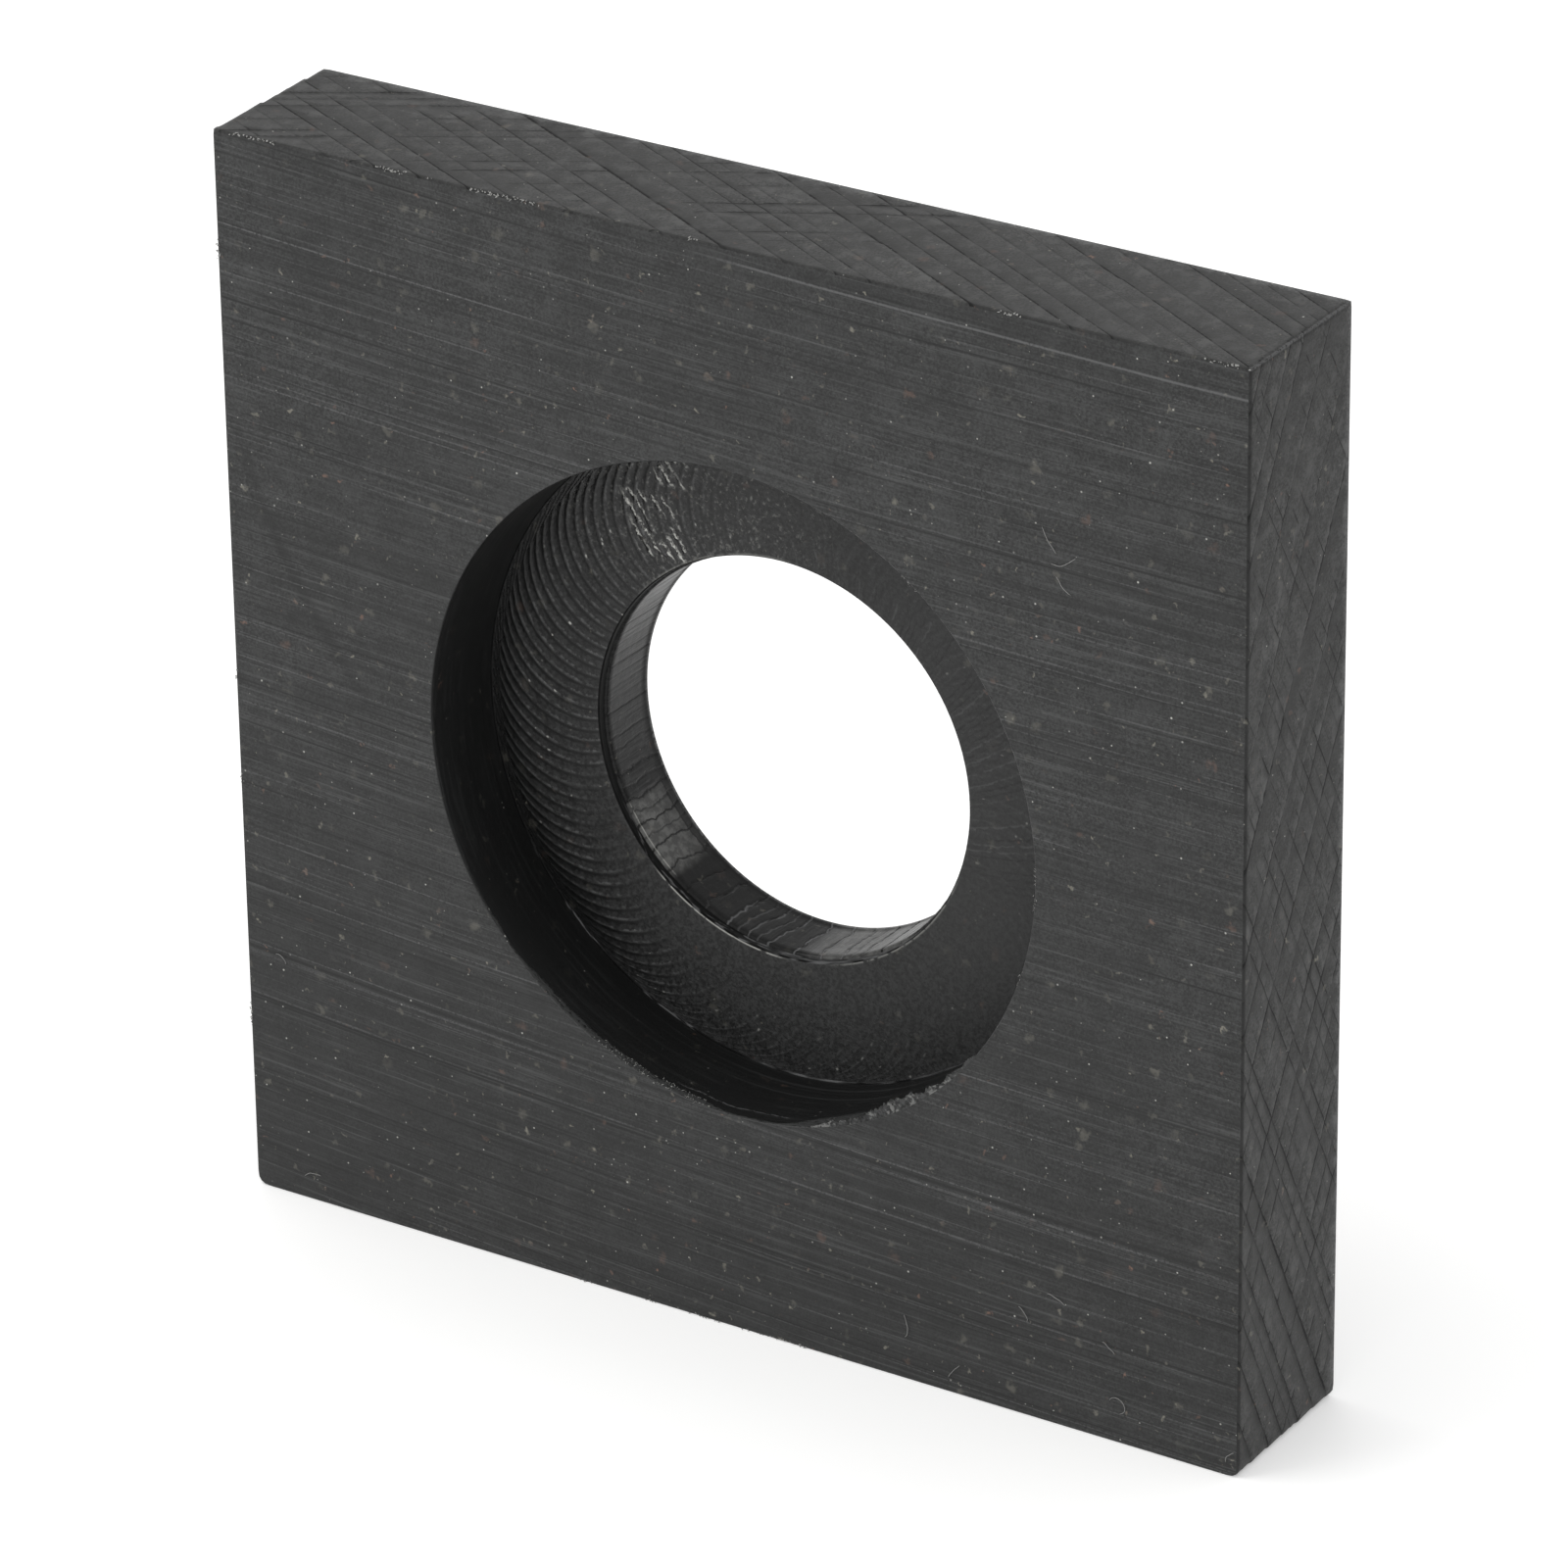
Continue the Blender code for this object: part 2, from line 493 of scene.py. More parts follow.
def finish_material(nodes, base, roughness, bumps, specular=0.5):
    """Ends a material in its shader. Each bump is a height, in shares of its depth, and that depth."""
    inputs = {"Base Color": base, "Roughness": roughness, "Specular IOR Level": specular}
    for height, depth in bumps:
        bump = {"Strength": 1.0, "Distance": depth, "Height": height}
        if "Normal" in inputs:
            bump["Normal"] = inputs["Normal"]
        inputs["Normal"] = nodes.node("ShaderNodeBump", inputs=bump).outputs[0]
    shader = nodes.node("ShaderNodeBsdfPrincipled", inputs=inputs)
    nodes.node("ShaderNodeOutputMaterial", inputs={0: shader.outputs[0]})


def grain_layer(nodes, place, scale, share, smallest, largest):
    """Returns one size of embedded grains and two random numbers for each."""
    cells = nodes.node("ShaderNodeTexVoronoi", inputs={"Vector": place, "Scale": scale, "Randomness": 1.0})
    size, pick, tint = nodes.split(cells.outputs["Color"])
    reach = smallest + (largest - smallest) * size * size
    grain = nodes.smooth(nodes.value(cells, "Distance"), reach, reach * 0.25) * (pick < share)
    return grain, size, tint


def embedded_grains(nodes, coordinates, ground, finish, amount=1.0):
    """Adds the pale and reddish flecks and the tiny light specks that are mixed into the rubber."""
    warped = nodes.node("ShaderNodeTexNoise", inputs={"Vector": coordinates, "Scale": 1900.0, "Detail": 2.0})
    shaken = nodes.vector_math("SUBTRACT", warped.outputs["Color"], (0.5, 0.5, 0.5))
    wobble = nodes.vector_math("SCALE", shaken, 1.1 * MM)
    place = nodes.vector_math("ADD", coordinates, wobble)
    shade = ground
    for scale, share, smallest, largest, strength in GRAIN_LAYERS:
        grain, size, tint = grain_layer(nodes, place, scale, share, smallest, largest)
        hue = nodes.mix(nodes.smooth(tint, 0.72, 0.8), finish.fleck_pale, finish.fleck_red)
        solid = 0.2 + 0.8 * nodes.math("FRACT", size * 61.0)
        shade = nodes.mix(grain * solid * (strength * amount), shade, hue)
    speck, size, _ = grain_layer(nodes, coordinates, *SPECK_LAYER)
    solid = nodes.math("FRACT", size * 83.0)
    return nodes.mix(speck * solid * amount, shade, finish.speck)


def tinted(tint, share):
    """Returns a colour made darker or lighter."""
    return [part * share for part in tint]


def mottled_ground(nodes, pattern, low, high, tint, dark_share, light_share):
    """Returns a ground that runs from a darker to a lighter share of one colour as a pattern rises."""
    return nodes.mix(nodes.smooth(pattern, low, high), tinted(tint, dark_share), tinted(tint, light_share))


def laid_over(nodes, ground, tint, *layers):
    """Lays shares of one colour over a ground. Each layer is how far it covers and its share."""
    for cover, share in layers:
        ground = nodes.mix(cover, ground, tinted(tint, share))
    return ground


def faint_smear(nodes, x, z):
    """Returns the faint smear that runs down the left side of the face."""
    down = (SLAB_HIGH.z - 19.0 * MM) - z
    middle = down * 0.213 + down * down * 16.95 - 37.5 * MM
    smear = nodes.smooth(abs(x - middle), 0.9 * MM, 0.1 * MM) * nodes.smooth(down, 21.0 * MM, 16.0 * MM)
    return smear * nodes.smooth(down, -1.0 * MM, 4.0 * MM)


def sanding_marks(nodes, coordinates, height, drawn, grit):
    """Returns the light and the dark marks that the sanding belt left on the broad faces, with a painted
    highlight on a crest under the top edge and painted shade above it.
    """
    x, _, z = nodes.split(coordinates)
    light = scratches(nodes, height, x, 1.4 * MM, 0.08 * MM, 3.0) * 1.2
    light = light + scratches(nodes, height, x + 0.3, 0.45 * MM, 0.06 * MM, 11.0) * 0.7
    light = light + deep_grooves(nodes, x, height, PALE_GROOVES) * nodes.smooth(drawn, 0.3, 0.55) * 0.7
    unscratched = nodes.smooth(nodes.noise(coordinates, 48.0, 2.0), 0.52, 0.38) * 0.55
    unscratched = unscratched + nodes.smooth(x + z * 0.5, -12.0 * MM, -26.0 * MM) * 0.25
    light = light * nodes.smooth(grit, 0.25, 0.6) * (1.0 - unscratched)

    # The sanding ran out along a thin crest under the top edge. The crest gets a painted highlight, and the
    # strip above it, which tilts back, gets painted shade.
    crest_height = 75.55 * MM
    towards_right = nodes.smooth(x, -4.0 * MM, 5.0 * MM)
    crest_highlight = nodes.smooth(abs(height - crest_height), 0.12 * MM, 0.03 * MM) * towards_right
    shade_above_crest = nodes.smooth(height, crest_height + 0.05 * MM, crest_height + 0.15 * MM) * towards_right
    light = light + crest_highlight * nodes.smooth(grit, 0.1, 0.5)

    dark = scratches(nodes, height, x + 0.7, 0.7 * MM, 0.12 * MM, 23.0) * 1.2
    dark = dark + deep_grooves(nodes, x, height, DARK_GROOVES) * 0.8
    dark = dark + shade_above_crest * 0.22 + faint_smear(nodes, x, z) * 0.6
    return nodes.math("MINIMUM", light, 1.0), nodes.math("MINIMUM", dark, 1.0)


def sanded_face(settings):
    """The broad faces: long fine scratches from a sanding belt over grey rubber."""
    finish = settings.finish
    material, nodes, coordinates = start_material("sanded_face")
    x, y, z = nodes.split(coordinates)
    waver = nodes.noise(nodes.vector(x * 35.0, y * 100.0, z * 60.0), 1.0, 2.0) - 0.5
    height = sanding_height(x, z) + waver * 0.35 * MM
    drawn = nodes.noise(nodes.vector(x * 90.0, y * 100.0, height * 5200.0), 1.0, 3.0, 0.7)
    broad = nodes.noise(nodes.vector(x * 12.0, y * 100.0, height * 700.0), 1.0, 2.0, 0.5)
    grit = nodes.noise(coordinates, GRIT_SCALE, 2.0, 0.7)
    mottle = nodes.noise(coordinates, MOTTLE_SCALE, 3.0, 0.65)
    blotch = nodes.noise(coordinates, 340.0, 3.0, 0.6)
    cloud = nodes.noise(coordinates, 70.0, 3.0, 0.6)
    # Painted shade: the face is darkened low down, less towards the right edge.
    low_down = nodes.smooth(z, 48.0 * MM, 8.0 * MM) * (0.55 + 0.45 * nodes.smooth(x, 38.0 * MM, 10.0 * MM))

    ground = laid_over(
        nodes, mottled_ground(nodes, grit, 0.28, 0.72, finish.sanded, 0.3, 1.7), finish.sanded,
        (nodes.smooth(blotch, 0.5, 0.66) * 0.25, 2.0),
        (nodes.smooth(blotch, 0.5, 0.34) * 0.25, 0.3),
        (nodes.smooth(mottle, 0.5, 0.72) * 0.3, 2.0),
        (nodes.smooth(mottle, 0.48, 0.3) * 0.3, 0.4),
        (nodes.smooth(cloud, 0.35, 0.65) * 0.3, 0.6),
        (low_down * 0.46, 0.4),
        (nodes.smooth(drawn, 0.47, 0.3) * 0.52, 0.2),
        (nodes.smooth(drawn, 0.53, 0.72) * 0.44, 3.0),
        (nodes.smooth(broad, 0.45, 0.25) * 0.4, 0.4),
    )
    light, dark = sanding_marks(nodes, coordinates, height, drawn, grit)
    ground = laid_over(nodes, ground, finish.sanded, (dark * 0.65, 0.2))
    ground = nodes.mix(light * 0.65, ground, finish.scratch)
    base = embedded_grains(nodes, coordinates, ground, finish)
    roughness = 0.6 + (grit - 0.5) * 0.3 - light * 0.1
    bumps = ((drawn, 0.02 * MM), (light - dark, 0.02 * MM), (grit, 0.012 * MM))
    finish_material(nodes, base, roughness, bumps, 0.36)
    return material


def sawn_edge(settings):
    """The four outer edges: crossed saw marks in scales and long dark lines of painted shade."""
    finish = settings.finish
    material, nodes, coordinates = start_material("sawn_edge")
    x, y, z = nodes.split(coordinates)
    height, line = crossed_saw_cuts(nodes, x, y, z, settings.marks.seed)
    grit = nodes.noise(coordinates, GRIT_SCALE, 2.0, 0.7)
    mottle = nodes.noise(coordinates, MOTTLE_SCALE, 3.0, 0.65)
    cloud = nodes.noise(coordinates, 160.0, 3.0, 0.6)
    broken = 0.35 + 0.65 * nodes.smooth(nodes.noise(coordinates, 480.0, 2.0), 0.40, 0.52)
    # The strips are painted darker where they lie low, and along their steps: painted shade of the saw's
    # scales and steps.
    ground = laid_over(
        nodes, mottled_ground(nodes, grit, 0.3, 0.7, finish.sawn, 0.2, 1.9), finish.sawn,
        (nodes.smooth(mottle, 0.5, 0.66) * 0.5, 2.6),
        (nodes.smooth(mottle, 0.48, 0.32) * 0.45, 0.3),
        (nodes.smooth(cloud, 0.35, 0.65) * 0.3, 0.6),
        (nodes.smooth(height, 0.7, 0.05) * 0.5, 0.35),
        (line * broken * 0.95, 0.06),
    )
    # Worn paler along the back, a painted highlight along the line where two edges meet, and a dark line
    # beside the front face
    half_x, half_y, half_z = SLAB_SIZE / 2.0
    at_back = nodes.smooth(y + (mottle - 0.5) * 1.6 * MM, half_y - 0.8 * MM, half_y - 0.1 * MM)
    at_side = nodes.smooth(abs(x), half_x - 0.25 * MM, half_x - 0.1 * MM)
    at_end = nodes.smooth(abs(z - SLAB_MIDDLE.z), half_z - 0.25 * MM, half_z - 0.1 * MM)
    lightened = nodes.math("MAXIMUM", at_back * 0.8, at_side * at_end)
    ground = nodes.mix(lightened * nodes.smooth(grit, 0.3, 0.55) * 0.75, ground, finish.scratch)
    at_front = nodes.smooth(-y, half_y - 0.26 * MM, half_y - 0.12 * MM)
    ground = nodes.mix(at_front * (0.35 + 0.4 * at_side) * (1.0 - at_side * at_end), ground, finish.smooth)
    base = embedded_grains(nodes, coordinates, ground, finish, 0.8)
    roughness = 0.6 + (grit - 0.5) * 0.3 + line * broken * 0.3
    bumps = ((height, 0.12 * MM), (mottle, 0.03 * MM), (grit, 0.014 * MM))
    finish_material(nodes, base, roughness, bumps, 0.34)
    return material


def turned_wall(settings):
    """The counterbore's wall: black and shiny, with faint streaks round it and a frayed rim low down."""
    finish, shape = settings.finish, settings.shape
    material, nodes, coordinates = start_material("turned_wall")
    x, y, z = nodes.split(coordinates)
    _, angle = polar(nodes, x, z, shape.counterbore_shift, SLAB_MIDDLE.z + shape.counterbore_shift)
    depth = y - SLAB_LOW.y
    streak = nodes.noise(nodes.vector(angle * 3.0, depth * 3400.0, 0.0), 1.0, 3.0, 0.6)
    smear = nodes.noise(nodes.vector(angle * 26.0, depth * 3500.0, 2.0), 1.0, 3.0, 0.65)
    shred = nodes.noise(nodes.vector(angle * 60.0, depth * 4200.0, 5.0), 1.0, 3.0, 0.7)
    uneven = nodes.noise(nodes.vector(angle * 9.0, 0.0, 7.0), 1.0, 2.0) - 0.5

    frayed = 0.25 + 1.9 * toward(nodes, angle, 299.0, 7.0, 21.0)
    frayed = frayed + 0.5 * toward(nodes, angle, 246.0, 12.0, 26.0)
    frayed = (frayed + uneven * 0.7) * MM
    rim = nodes.smooth(depth + (shred - 0.5) * 0.7 * MM, frayed, frayed * 0.75)
    rim = rim * toward(nodes, angle, 272.0, 46.0, 70.0)
    torn = rim * nodes.smooth(shred, 0.34, 0.5)
    ground = nodes.mix(nodes.smooth(streak, 0.5, 0.72) * 0.5, finish.smooth, tinted(finish.smooth, 2.8))
    ground = nodes.mix(torn, ground, tinted(finish.sanded, 1.5))

    # The burr has folded over along a thin light line left of the lowest point.
    folded = nodes.smooth(abs(depth - 1.15 * MM - uneven * 0.8 * MM), 0.1 * MM, 0.03 * MM)
    folded = folded * toward(nodes, angle, 269.0, 8.0, 13.0) * nodes.smooth(shred, 0.42, 0.56)
    ground = nodes.mix(folded * 0.6, ground, finish.scratch)
    spark, size, _ = grain_layer(nodes, coordinates, 2600.0, 0.5, 0.12, 0.34)
    ground = nodes.mix(spark * size * rim, ground, finish.speck)

    # Two rings where the cutter went deeper get a painted highlight on their small steps at the lower right.
    ring = nodes.smooth(abs(depth - 4.3 * MM), 0.12 * MM, 0.03 * MM)
    ring = ring + nodes.smooth(abs(depth - 5.6 * MM), 0.16 * MM, 0.04 * MM)
    ring = ring * toward(nodes, angle, 295.0, 18.0, 42.0)
    ground = laid_over(nodes, ground, finish.smooth, (ring * 0.5, 5.0))
    rim_line = nodes.smooth(depth, 0.12 * MM, 0.04 * MM) * toward(nodes, angle, 20.0, 45.0, 58.0)
    ground = nodes.mix(rim_line * nodes.smooth(smear, 0.3, 0.55) * 0.4, ground, finish.scratch)
    base = embedded_grains(nodes, coordinates, ground, finish, 0.3)
    roughness = 0.36 + (streak - 0.5) * 0.2 + torn * 0.2
    bumps = ((streak, 0.01 * MM), (shred * rim, 0.08 * MM))
    finish_material(nodes, base, roughness, bumps, 0.35)
    return material


def chattered_patch(nodes, coordinates, x, above):
    """Returns where the end mill chattered on the floor: a patch above the bore and a smaller one over it."""
    patch = nodes.smooth(abs(x + above * 0.35 + 4.3 * MM), 2.1 * MM, 1.6 * MM)
    patch = patch * nodes.smooth(abs(above - 14.4 * MM), 2.4 * MM, 1.9 * MM)
    smaller = nodes.smooth(abs(x + 8.0 * MM), 1.6 * MM, 1.0 * MM) * nodes.smooth(above, 17.2 * MM, 17.8 * MM)
    patch = nodes.math("MAXIMUM", patch, smaller * nodes.smooth(above, 20.0 * MM, 19.2 * MM))
    return patch * nodes.smooth(nodes.noise(coordinates, 420.0, 2.0), 0.34, 0.46)


def tooth_marks(nodes, radius, angle, bore_radius, lumps, seed):
    """Returns the dark and the light marks of the cutter's teeth, which stand close together.

    They show at the right of the floor and round the top of the bore.
    """
    teeth_round_floor, slant = 220.0, 22.0
    place = (angle - (radius - 18.0 * MM) * slant) * (teeth_round_floor / math.tau) + (lumps - 0.5) * 1.2
    tooth = nodes.math("FLOOR", place)
    line = nodes.smooth(abs(place - tooth - 0.5), 0.24, 0.06) * nodes.smooth(lumps, 0.36, 0.56)
    at_top = toward(nodes, angle, 58.0, 22.0, 36.0) * nodes.smooth(bore_radius, 16.6 * MM, 15.2 * MM)
    toothed = nodes.math("MAXIMUM", toward(nodes, angle, 18.0, 24.0, 44.0), at_top) * line
    shade = nodes.chance(tooth + float(seed))
    return toothed * nodes.smooth(shade, 0.55, 0.3), toothed * nodes.smooth(shade, 0.55, 0.8)


def turned_up_edge(nodes, bore_radius, bore_angle, lumps, step_radius):
    """Returns the thin light line, a painted highlight, where the edge of the step below the floor is turned
    up.
    """
    edge = nodes.smooth(bore_radius, step_radius + 0.24 * MM, step_radius + 0.12 * MM)
    turned_up = toward(nodes, bore_angle, 248.0, 16.0, 24.0)
    turned_up = turned_up + toward(nodes, bore_angle, 312.0, 18.0, 30.0) * 0.4
    turned_up = turned_up + toward(nodes, bore_angle, 112.0, 18.0, 30.0) * 0.3
    return edge * turned_up * nodes.smooth(lumps, 0.36, 0.52)


def milled_floor(settings):
    """The counterbore's floor: arcs of milling ridges with painted highlights and shade, painted shadow
    beside the wall, and a chattered shiny patch at the top left with painted glints.
    """
    finish, shape, marks = settings.finish, settings.shape, settings.marks
    material, nodes, coordinates = start_material("milled_floor")
    x, _, z = nodes.split(coordinates)
    shift = shape.counterbore_shift
    radius, angle = polar(nodes, x, z, shift, SLAB_MIDDLE.z + shift)
    bore_radius, bore_angle = polar(nodes, x, z, 0.0, SLAB_MIDDLE.z)
    torn = nodes.noise(coordinates, 3800.0, 3.0, 0.7)
    lumps = nodes.noise(coordinates, 1500.0, 2.0, 0.6)
    pitted = nodes.noise(coordinates, 3300.0, 3.0, 0.65)
    speckled = toward(nodes, angle, 110.0, 12.0, 40.0)
    lit_side = toward(nodes, angle, 12.0, 30.0, 75.0)
    # Painted shadow: the floor is darkened beside the wall at the left, where the wall shades it.
    wall_shadow = nodes.smooth(radius, 19.4 * MM, 22.4 * MM) * toward(nodes, angle, 178.0, 42.0, 66.0)
    outside_wall_shadow = 1.0 - wall_shadow

    # Each ridge gets a painted highlight on its crest and painted shade in the valley behind it. They fade
    # near the bore at the lower left.
    floor_radius = shape.counterbore_radius - shape.counterbore_fillet
    _, ridge_place = milling_ridges(nodes, radius, angle, marks, floor_radius)
    near_bore = toward(nodes, angle, 236.0, 26.0, 46.0) * nodes.smooth(radius, 19.8 * MM, 16.8 * MM)
    low_down = toward(nodes, angle, 262.0, 18.0, 40.0) * nodes.smooth(radius, 18.5 * MM, 21.5 * MM)
    strength = ridge_strength(nodes, angle) * (1.0 - near_bore * 0.85) + low_down * 0.4
    frayed_place = ridge_place + (torn - 0.5) * 0.3
    crest_highlight = nodes.smooth(abs(frayed_place - 0.84), 0.13, 0.04) * strength
    valley_shade = nodes.smooth(abs(frayed_place - 0.13), 0.20, 0.06) * strength
    lit = crest_highlight * nodes.smooth(lumps, 0.38, 0.6) * (0.3 + nodes.smooth(torn, 0.35, 0.65)) * outside_wall_shadow

    dark_teeth, light_teeth = tooth_marks(nodes, radius, angle, bore_radius, lumps, marks.seed)
    ground = mottled_ground(nodes, torn, 0.32, 0.68, finish.milled, 0.2, 2.0)
    ground = laid_over(nodes, ground, finish.milled, (lit_side * 0.4, 2.2))
    ground = laid_over(nodes, ground, finish.smooth, (dark_teeth * 0.7, 0.5))
    ground = laid_over(nodes, ground, finish.milled, (light_teeth * 0.4, 6.0))
    valley_shade_cover = nodes.math("MINIMUM", valley_shade * 0.8, 0.9)
    ground = laid_over(nodes, ground, finish.smooth, (valley_shade_cover, 0.4), (wall_shadow * 0.93, 0.5))
    ground = laid_over(nodes, ground, finish.milled, (nodes.math("MINIMUM", lit * 0.62, 1.0), 7.0))
    pits = nodes.smooth(pitted, 0.46, 0.34) * speckled
    ground = laid_over(nodes, ground, finish.smooth, (pits * 0.4, 0.4))

    # Painted glints: the patch's strokes, specks in the torn surface, and the turned-up edge of the step
    patch = chattered_patch(nodes, coordinates, x, z - SLAB_MIDDLE.z)
    stroke_spacing = 0.64 * MM
    phase = x * 0.79 + z * 0.61 + (lumps - 0.5) * 0.8 * MM
    stroke = nodes.math("SINE", phase * (math.tau / stroke_spacing))
    glint = nodes.smooth(stroke, 0.35, 0.9) * patch * nodes.smooth(torn, 0.36, 0.55)
    glint = glint * (0.3 + 0.7 * nodes.smooth(lumps, 0.42, 0.52))
    glint = glint + nodes.smooth(pitted, 0.56, 0.68) * speckled * 0.16
    dash, size, _ = grain_layer(nodes, coordinates, 1500.0, 0.7, 0.10, 0.34)
    glint = glint + dash * crest_highlight * outside_wall_shadow * (0.3 + 0.7 * size)
    drop, size, _ = grain_layer(nodes, coordinates, 900.0, 0.45, 0.08, 0.22)
    glint = glint + drop * toward(nodes, angle, 118.0, 12.0, 34.0) * (0.3 + 0.7 * size)
    dot, size, _ = grain_layer(nodes, coordinates, 1250.0, 0.22, 0.08, 0.24)
    glint = glint + dot * outside_wall_shadow * (0.15 + 0.7 * size)
    glint = glint + turned_up_edge(nodes, bore_radius, bore_angle, lumps, shape.step_radius) * 0.6
    ground = nodes.mix(nodes.math("MINIMUM", glint, 1.0), ground, finish.speck)

    base = embedded_grains(nodes, coordinates, ground, finish, 0.6)
    roughness = 0.56 + (torn - 0.5) * 0.3 - patch * 0.2 - speckled * 0.1 - wall_shadow * 0.26
    bumps = ((torn, 0.045 * MM), (lumps * speckled, 0.04 * MM), (stroke * patch, 0.025 * MM))
    finish_material(nodes, base, roughness, bumps, 0.38)
    return material


def pared_step(settings):
    """The fillet and the step under the floor: dull black, with thin light lips where it was pared."""
    finish = settings.finish
    material, nodes, coordinates = start_material("pared_step")
    x, y, z = nodes.split(coordinates)
    _, angle = polar(nodes, x, z, 0.0, SLAB_MIDDLE.z)
    below = y - FLOOR_Y
    peel = nodes.noise(nodes.vector(angle * 9.0, below * 3000.0, 4.0), 1.0, 2.0, 0.6)
    lips = nodes.smooth(peel, 0.54, 0.64) * toward(nodes, angle, 262.0, 38.0, 60.0)
    streaked = toward(nodes, angle, 290.0, 20.0, 30.0) * nodes.smooth(peel, 0.4, 0.55)
    ground = mottled_ground(nodes, peel, 0.35, 0.7, finish.smooth, 0.4, 1.1)
    ground = laid_over(nodes, ground, finish.scratch, (streaked * 0.7, 0.6), (lips * 0.8, 1.0))
    finish_material(nodes, ground, 0.5 + (peel - 0.5) * 0.3, ((peel, 0.06 * MM),), 0.08)
    return material


def lip_edges(nodes, ground, finish, from_back, angle, grain):
    """Adds the bore's back end at the lower left: a dark line of painted shade, then the lip with its thin
    light edge.
    """
    low_left = toward(nodes, angle, 225.0, 30.0, 46.0)
    line_at = 0.85 * MM
    # The dark line is painted shade.
    line = nodes.smooth(abs(from_back - line_at), 0.12 * MM, 0.04 * MM) * low_left
    edge = nodes.smooth(from_back, 0.32 * MM, 0.2 * MM) * low_left * nodes.smooth(grain, 0.42, 0.52)
    lip = nodes.smooth(from_back, line_at, line_at - 0.05 * MM) * low_left
    ground = laid_over(nodes, ground, finish.milled, (lip * 0.7, 0.7))
    ground = laid_over(nodes, ground, finish.smooth, (line * 0.9, 0.3))
    return nodes.mix(edge * 0.7, ground, finish.scratch)


def torn_bore(settings):
    """The bore's wall: satin rubber torn into lines along its length."""
    finish, marks = settings.finish, settings.marks
    material, nodes, coordinates = start_material("torn_bore")
    x, y, z = nodes.split(coordinates)
    _, angle = polar(nodes, x, z, 0.0, SLAB_MIDDLE.z)
    below = y - FLOOR_Y
    lines = chatter_lines(nodes, angle, y, marks)
    grain = nodes.noise(nodes.vector(angle * 60.0, y * 300.0, 3.0), 1.0, 3.0, 0.6)
    spot = nodes.noise(coordinates, 1600.0, 3.0, 0.65)
    shaded = toward(nodes, angle, 250.0, 18.0, 26.0)
    ground = mottled_ground(nodes, grain, 0.35, 0.7, finish.milled, 0.2, 0.9)
    ground = laid_over(nodes, ground, finish.milled, (nodes.smooth(spot, 0.55, 0.7) * 0.4, 2.6))
    ground = laid_over(nodes, ground, finish.smooth, (shaded * 0.5, 0.3))

    # Two stretches get painted highlights, reflections of the bright surroundings, at the lower left and the
    # lower right.
    lightened = toward(nodes, angle, 219.0, 9.0, 13.0) * (0.5 + 0.5 * nodes.smooth(below, 5.2 * MM, 2.0 * MM))
    lightened = lightened + toward(nodes, angle, 295.0, 11.0, 22.0) * 0.75
    mottled = 0.5 + 0.5 * nodes.smooth(spot, 0.4, 0.6)
    ground = laid_over(nodes, ground, finish.chip, (lightened * mottled * 0.5, 0.8))

    # Painted highlights on the raised lines low down, and painted shade in the other lines.
    raised = toward(nodes, angle, 268.0, 18.0, 28.0)
    shaded_lines = lines * (1.0 - raised) * (0.95 - shaded * 0.3)
    ground = laid_over(nodes, ground, finish.smooth, (shaded_lines, 0.2))
    ground = nodes.mix(lines * raised * nodes.smooth(grain, 0.38, 0.5) * 0.9, ground, finish.scratch)

    from_back = SLAB_HIGH.y - y + (spot - 0.5) * 0.4 * MM
    ground = lip_edges(nodes, ground, finish, from_back, angle, grain)
    # A painted highlight along the bore's front edge at the lower left.
    front_edge_highlight = nodes.smooth(abs(below - 0.8 * MM), 0.06 * MM, 0.02 * MM)
    front_edge_highlight = front_edge_highlight * toward(nodes, angle, 219.0, 8.0, 13.0)
    ground = nodes.mix(front_edge_highlight * nodes.smooth(spot, 0.36, 0.5) * 0.5, ground, finish.speck)
    base = embedded_grains(nodes, coordinates, ground, finish, 0.4)
    roughness = 0.36 + (grain - 0.5) * 0.3 + shaded * 0.25
    bumps = ((grain, 0.04 * MM), (spot, 0.03 * MM), (1.0 - lines, 0.05 * MM))
    finish_material(nodes, base, roughness, bumps, 0.26)
    return material


def plain_material(name, tint, roughness):
    """Returns a material of one colour, for fibres and burr flakes, with a little mottling."""
    material, nodes, coordinates = start_material(name)
    mottle = nodes.noise(coordinates, 2500.0, 2.0)
    base = nodes.mix(mottle, tinted(tint, 0.6), tinted(tint, 1.4))
    finish_material(nodes, base, roughness, ((mottle, 0.01 * MM),))
    return material


def shredded_rubber(settings):
    """The flap left on the rim: light shreds over dark rubber."""
    finish = settings.finish
    material, nodes, coordinates = start_material("shredded_rubber")
    shred = nodes.noise(coordinates, 3600.0, 3.0, 0.7)
    patch = nodes.noise(coordinates, 900.0, 2.0, 0.6)
    ground = mottled_ground(nodes, shred, 0.35, 0.6, finish.sanded, 0.3, 1.7)
    base = nodes.mix(nodes.smooth(shred + (patch - 0.5), 0.54, 0.7) * 0.4, ground, finish.chip)
    finish_material(nodes, base, 0.65, ((shred, 0.04 * MM),), 0.3)
    return material


# The slab's mesh


def round_loop(radius, y, shift=0.0, turn=0.0, points=LOOP_POINTS):
    """Returns a ring of points, counterclockwise from the right as seen from the front."""
    angle = np.arange(points) * (math.tau / points) + turn
    loop = np.empty((points, 3))
    loop[:, 0] = shift + radius * np.cos(angle)
    loop[:, 1] = y
    loop[:, 2] = SLAB_MIDDLE.z + shift + radius * np.sin(angle)
    return loop


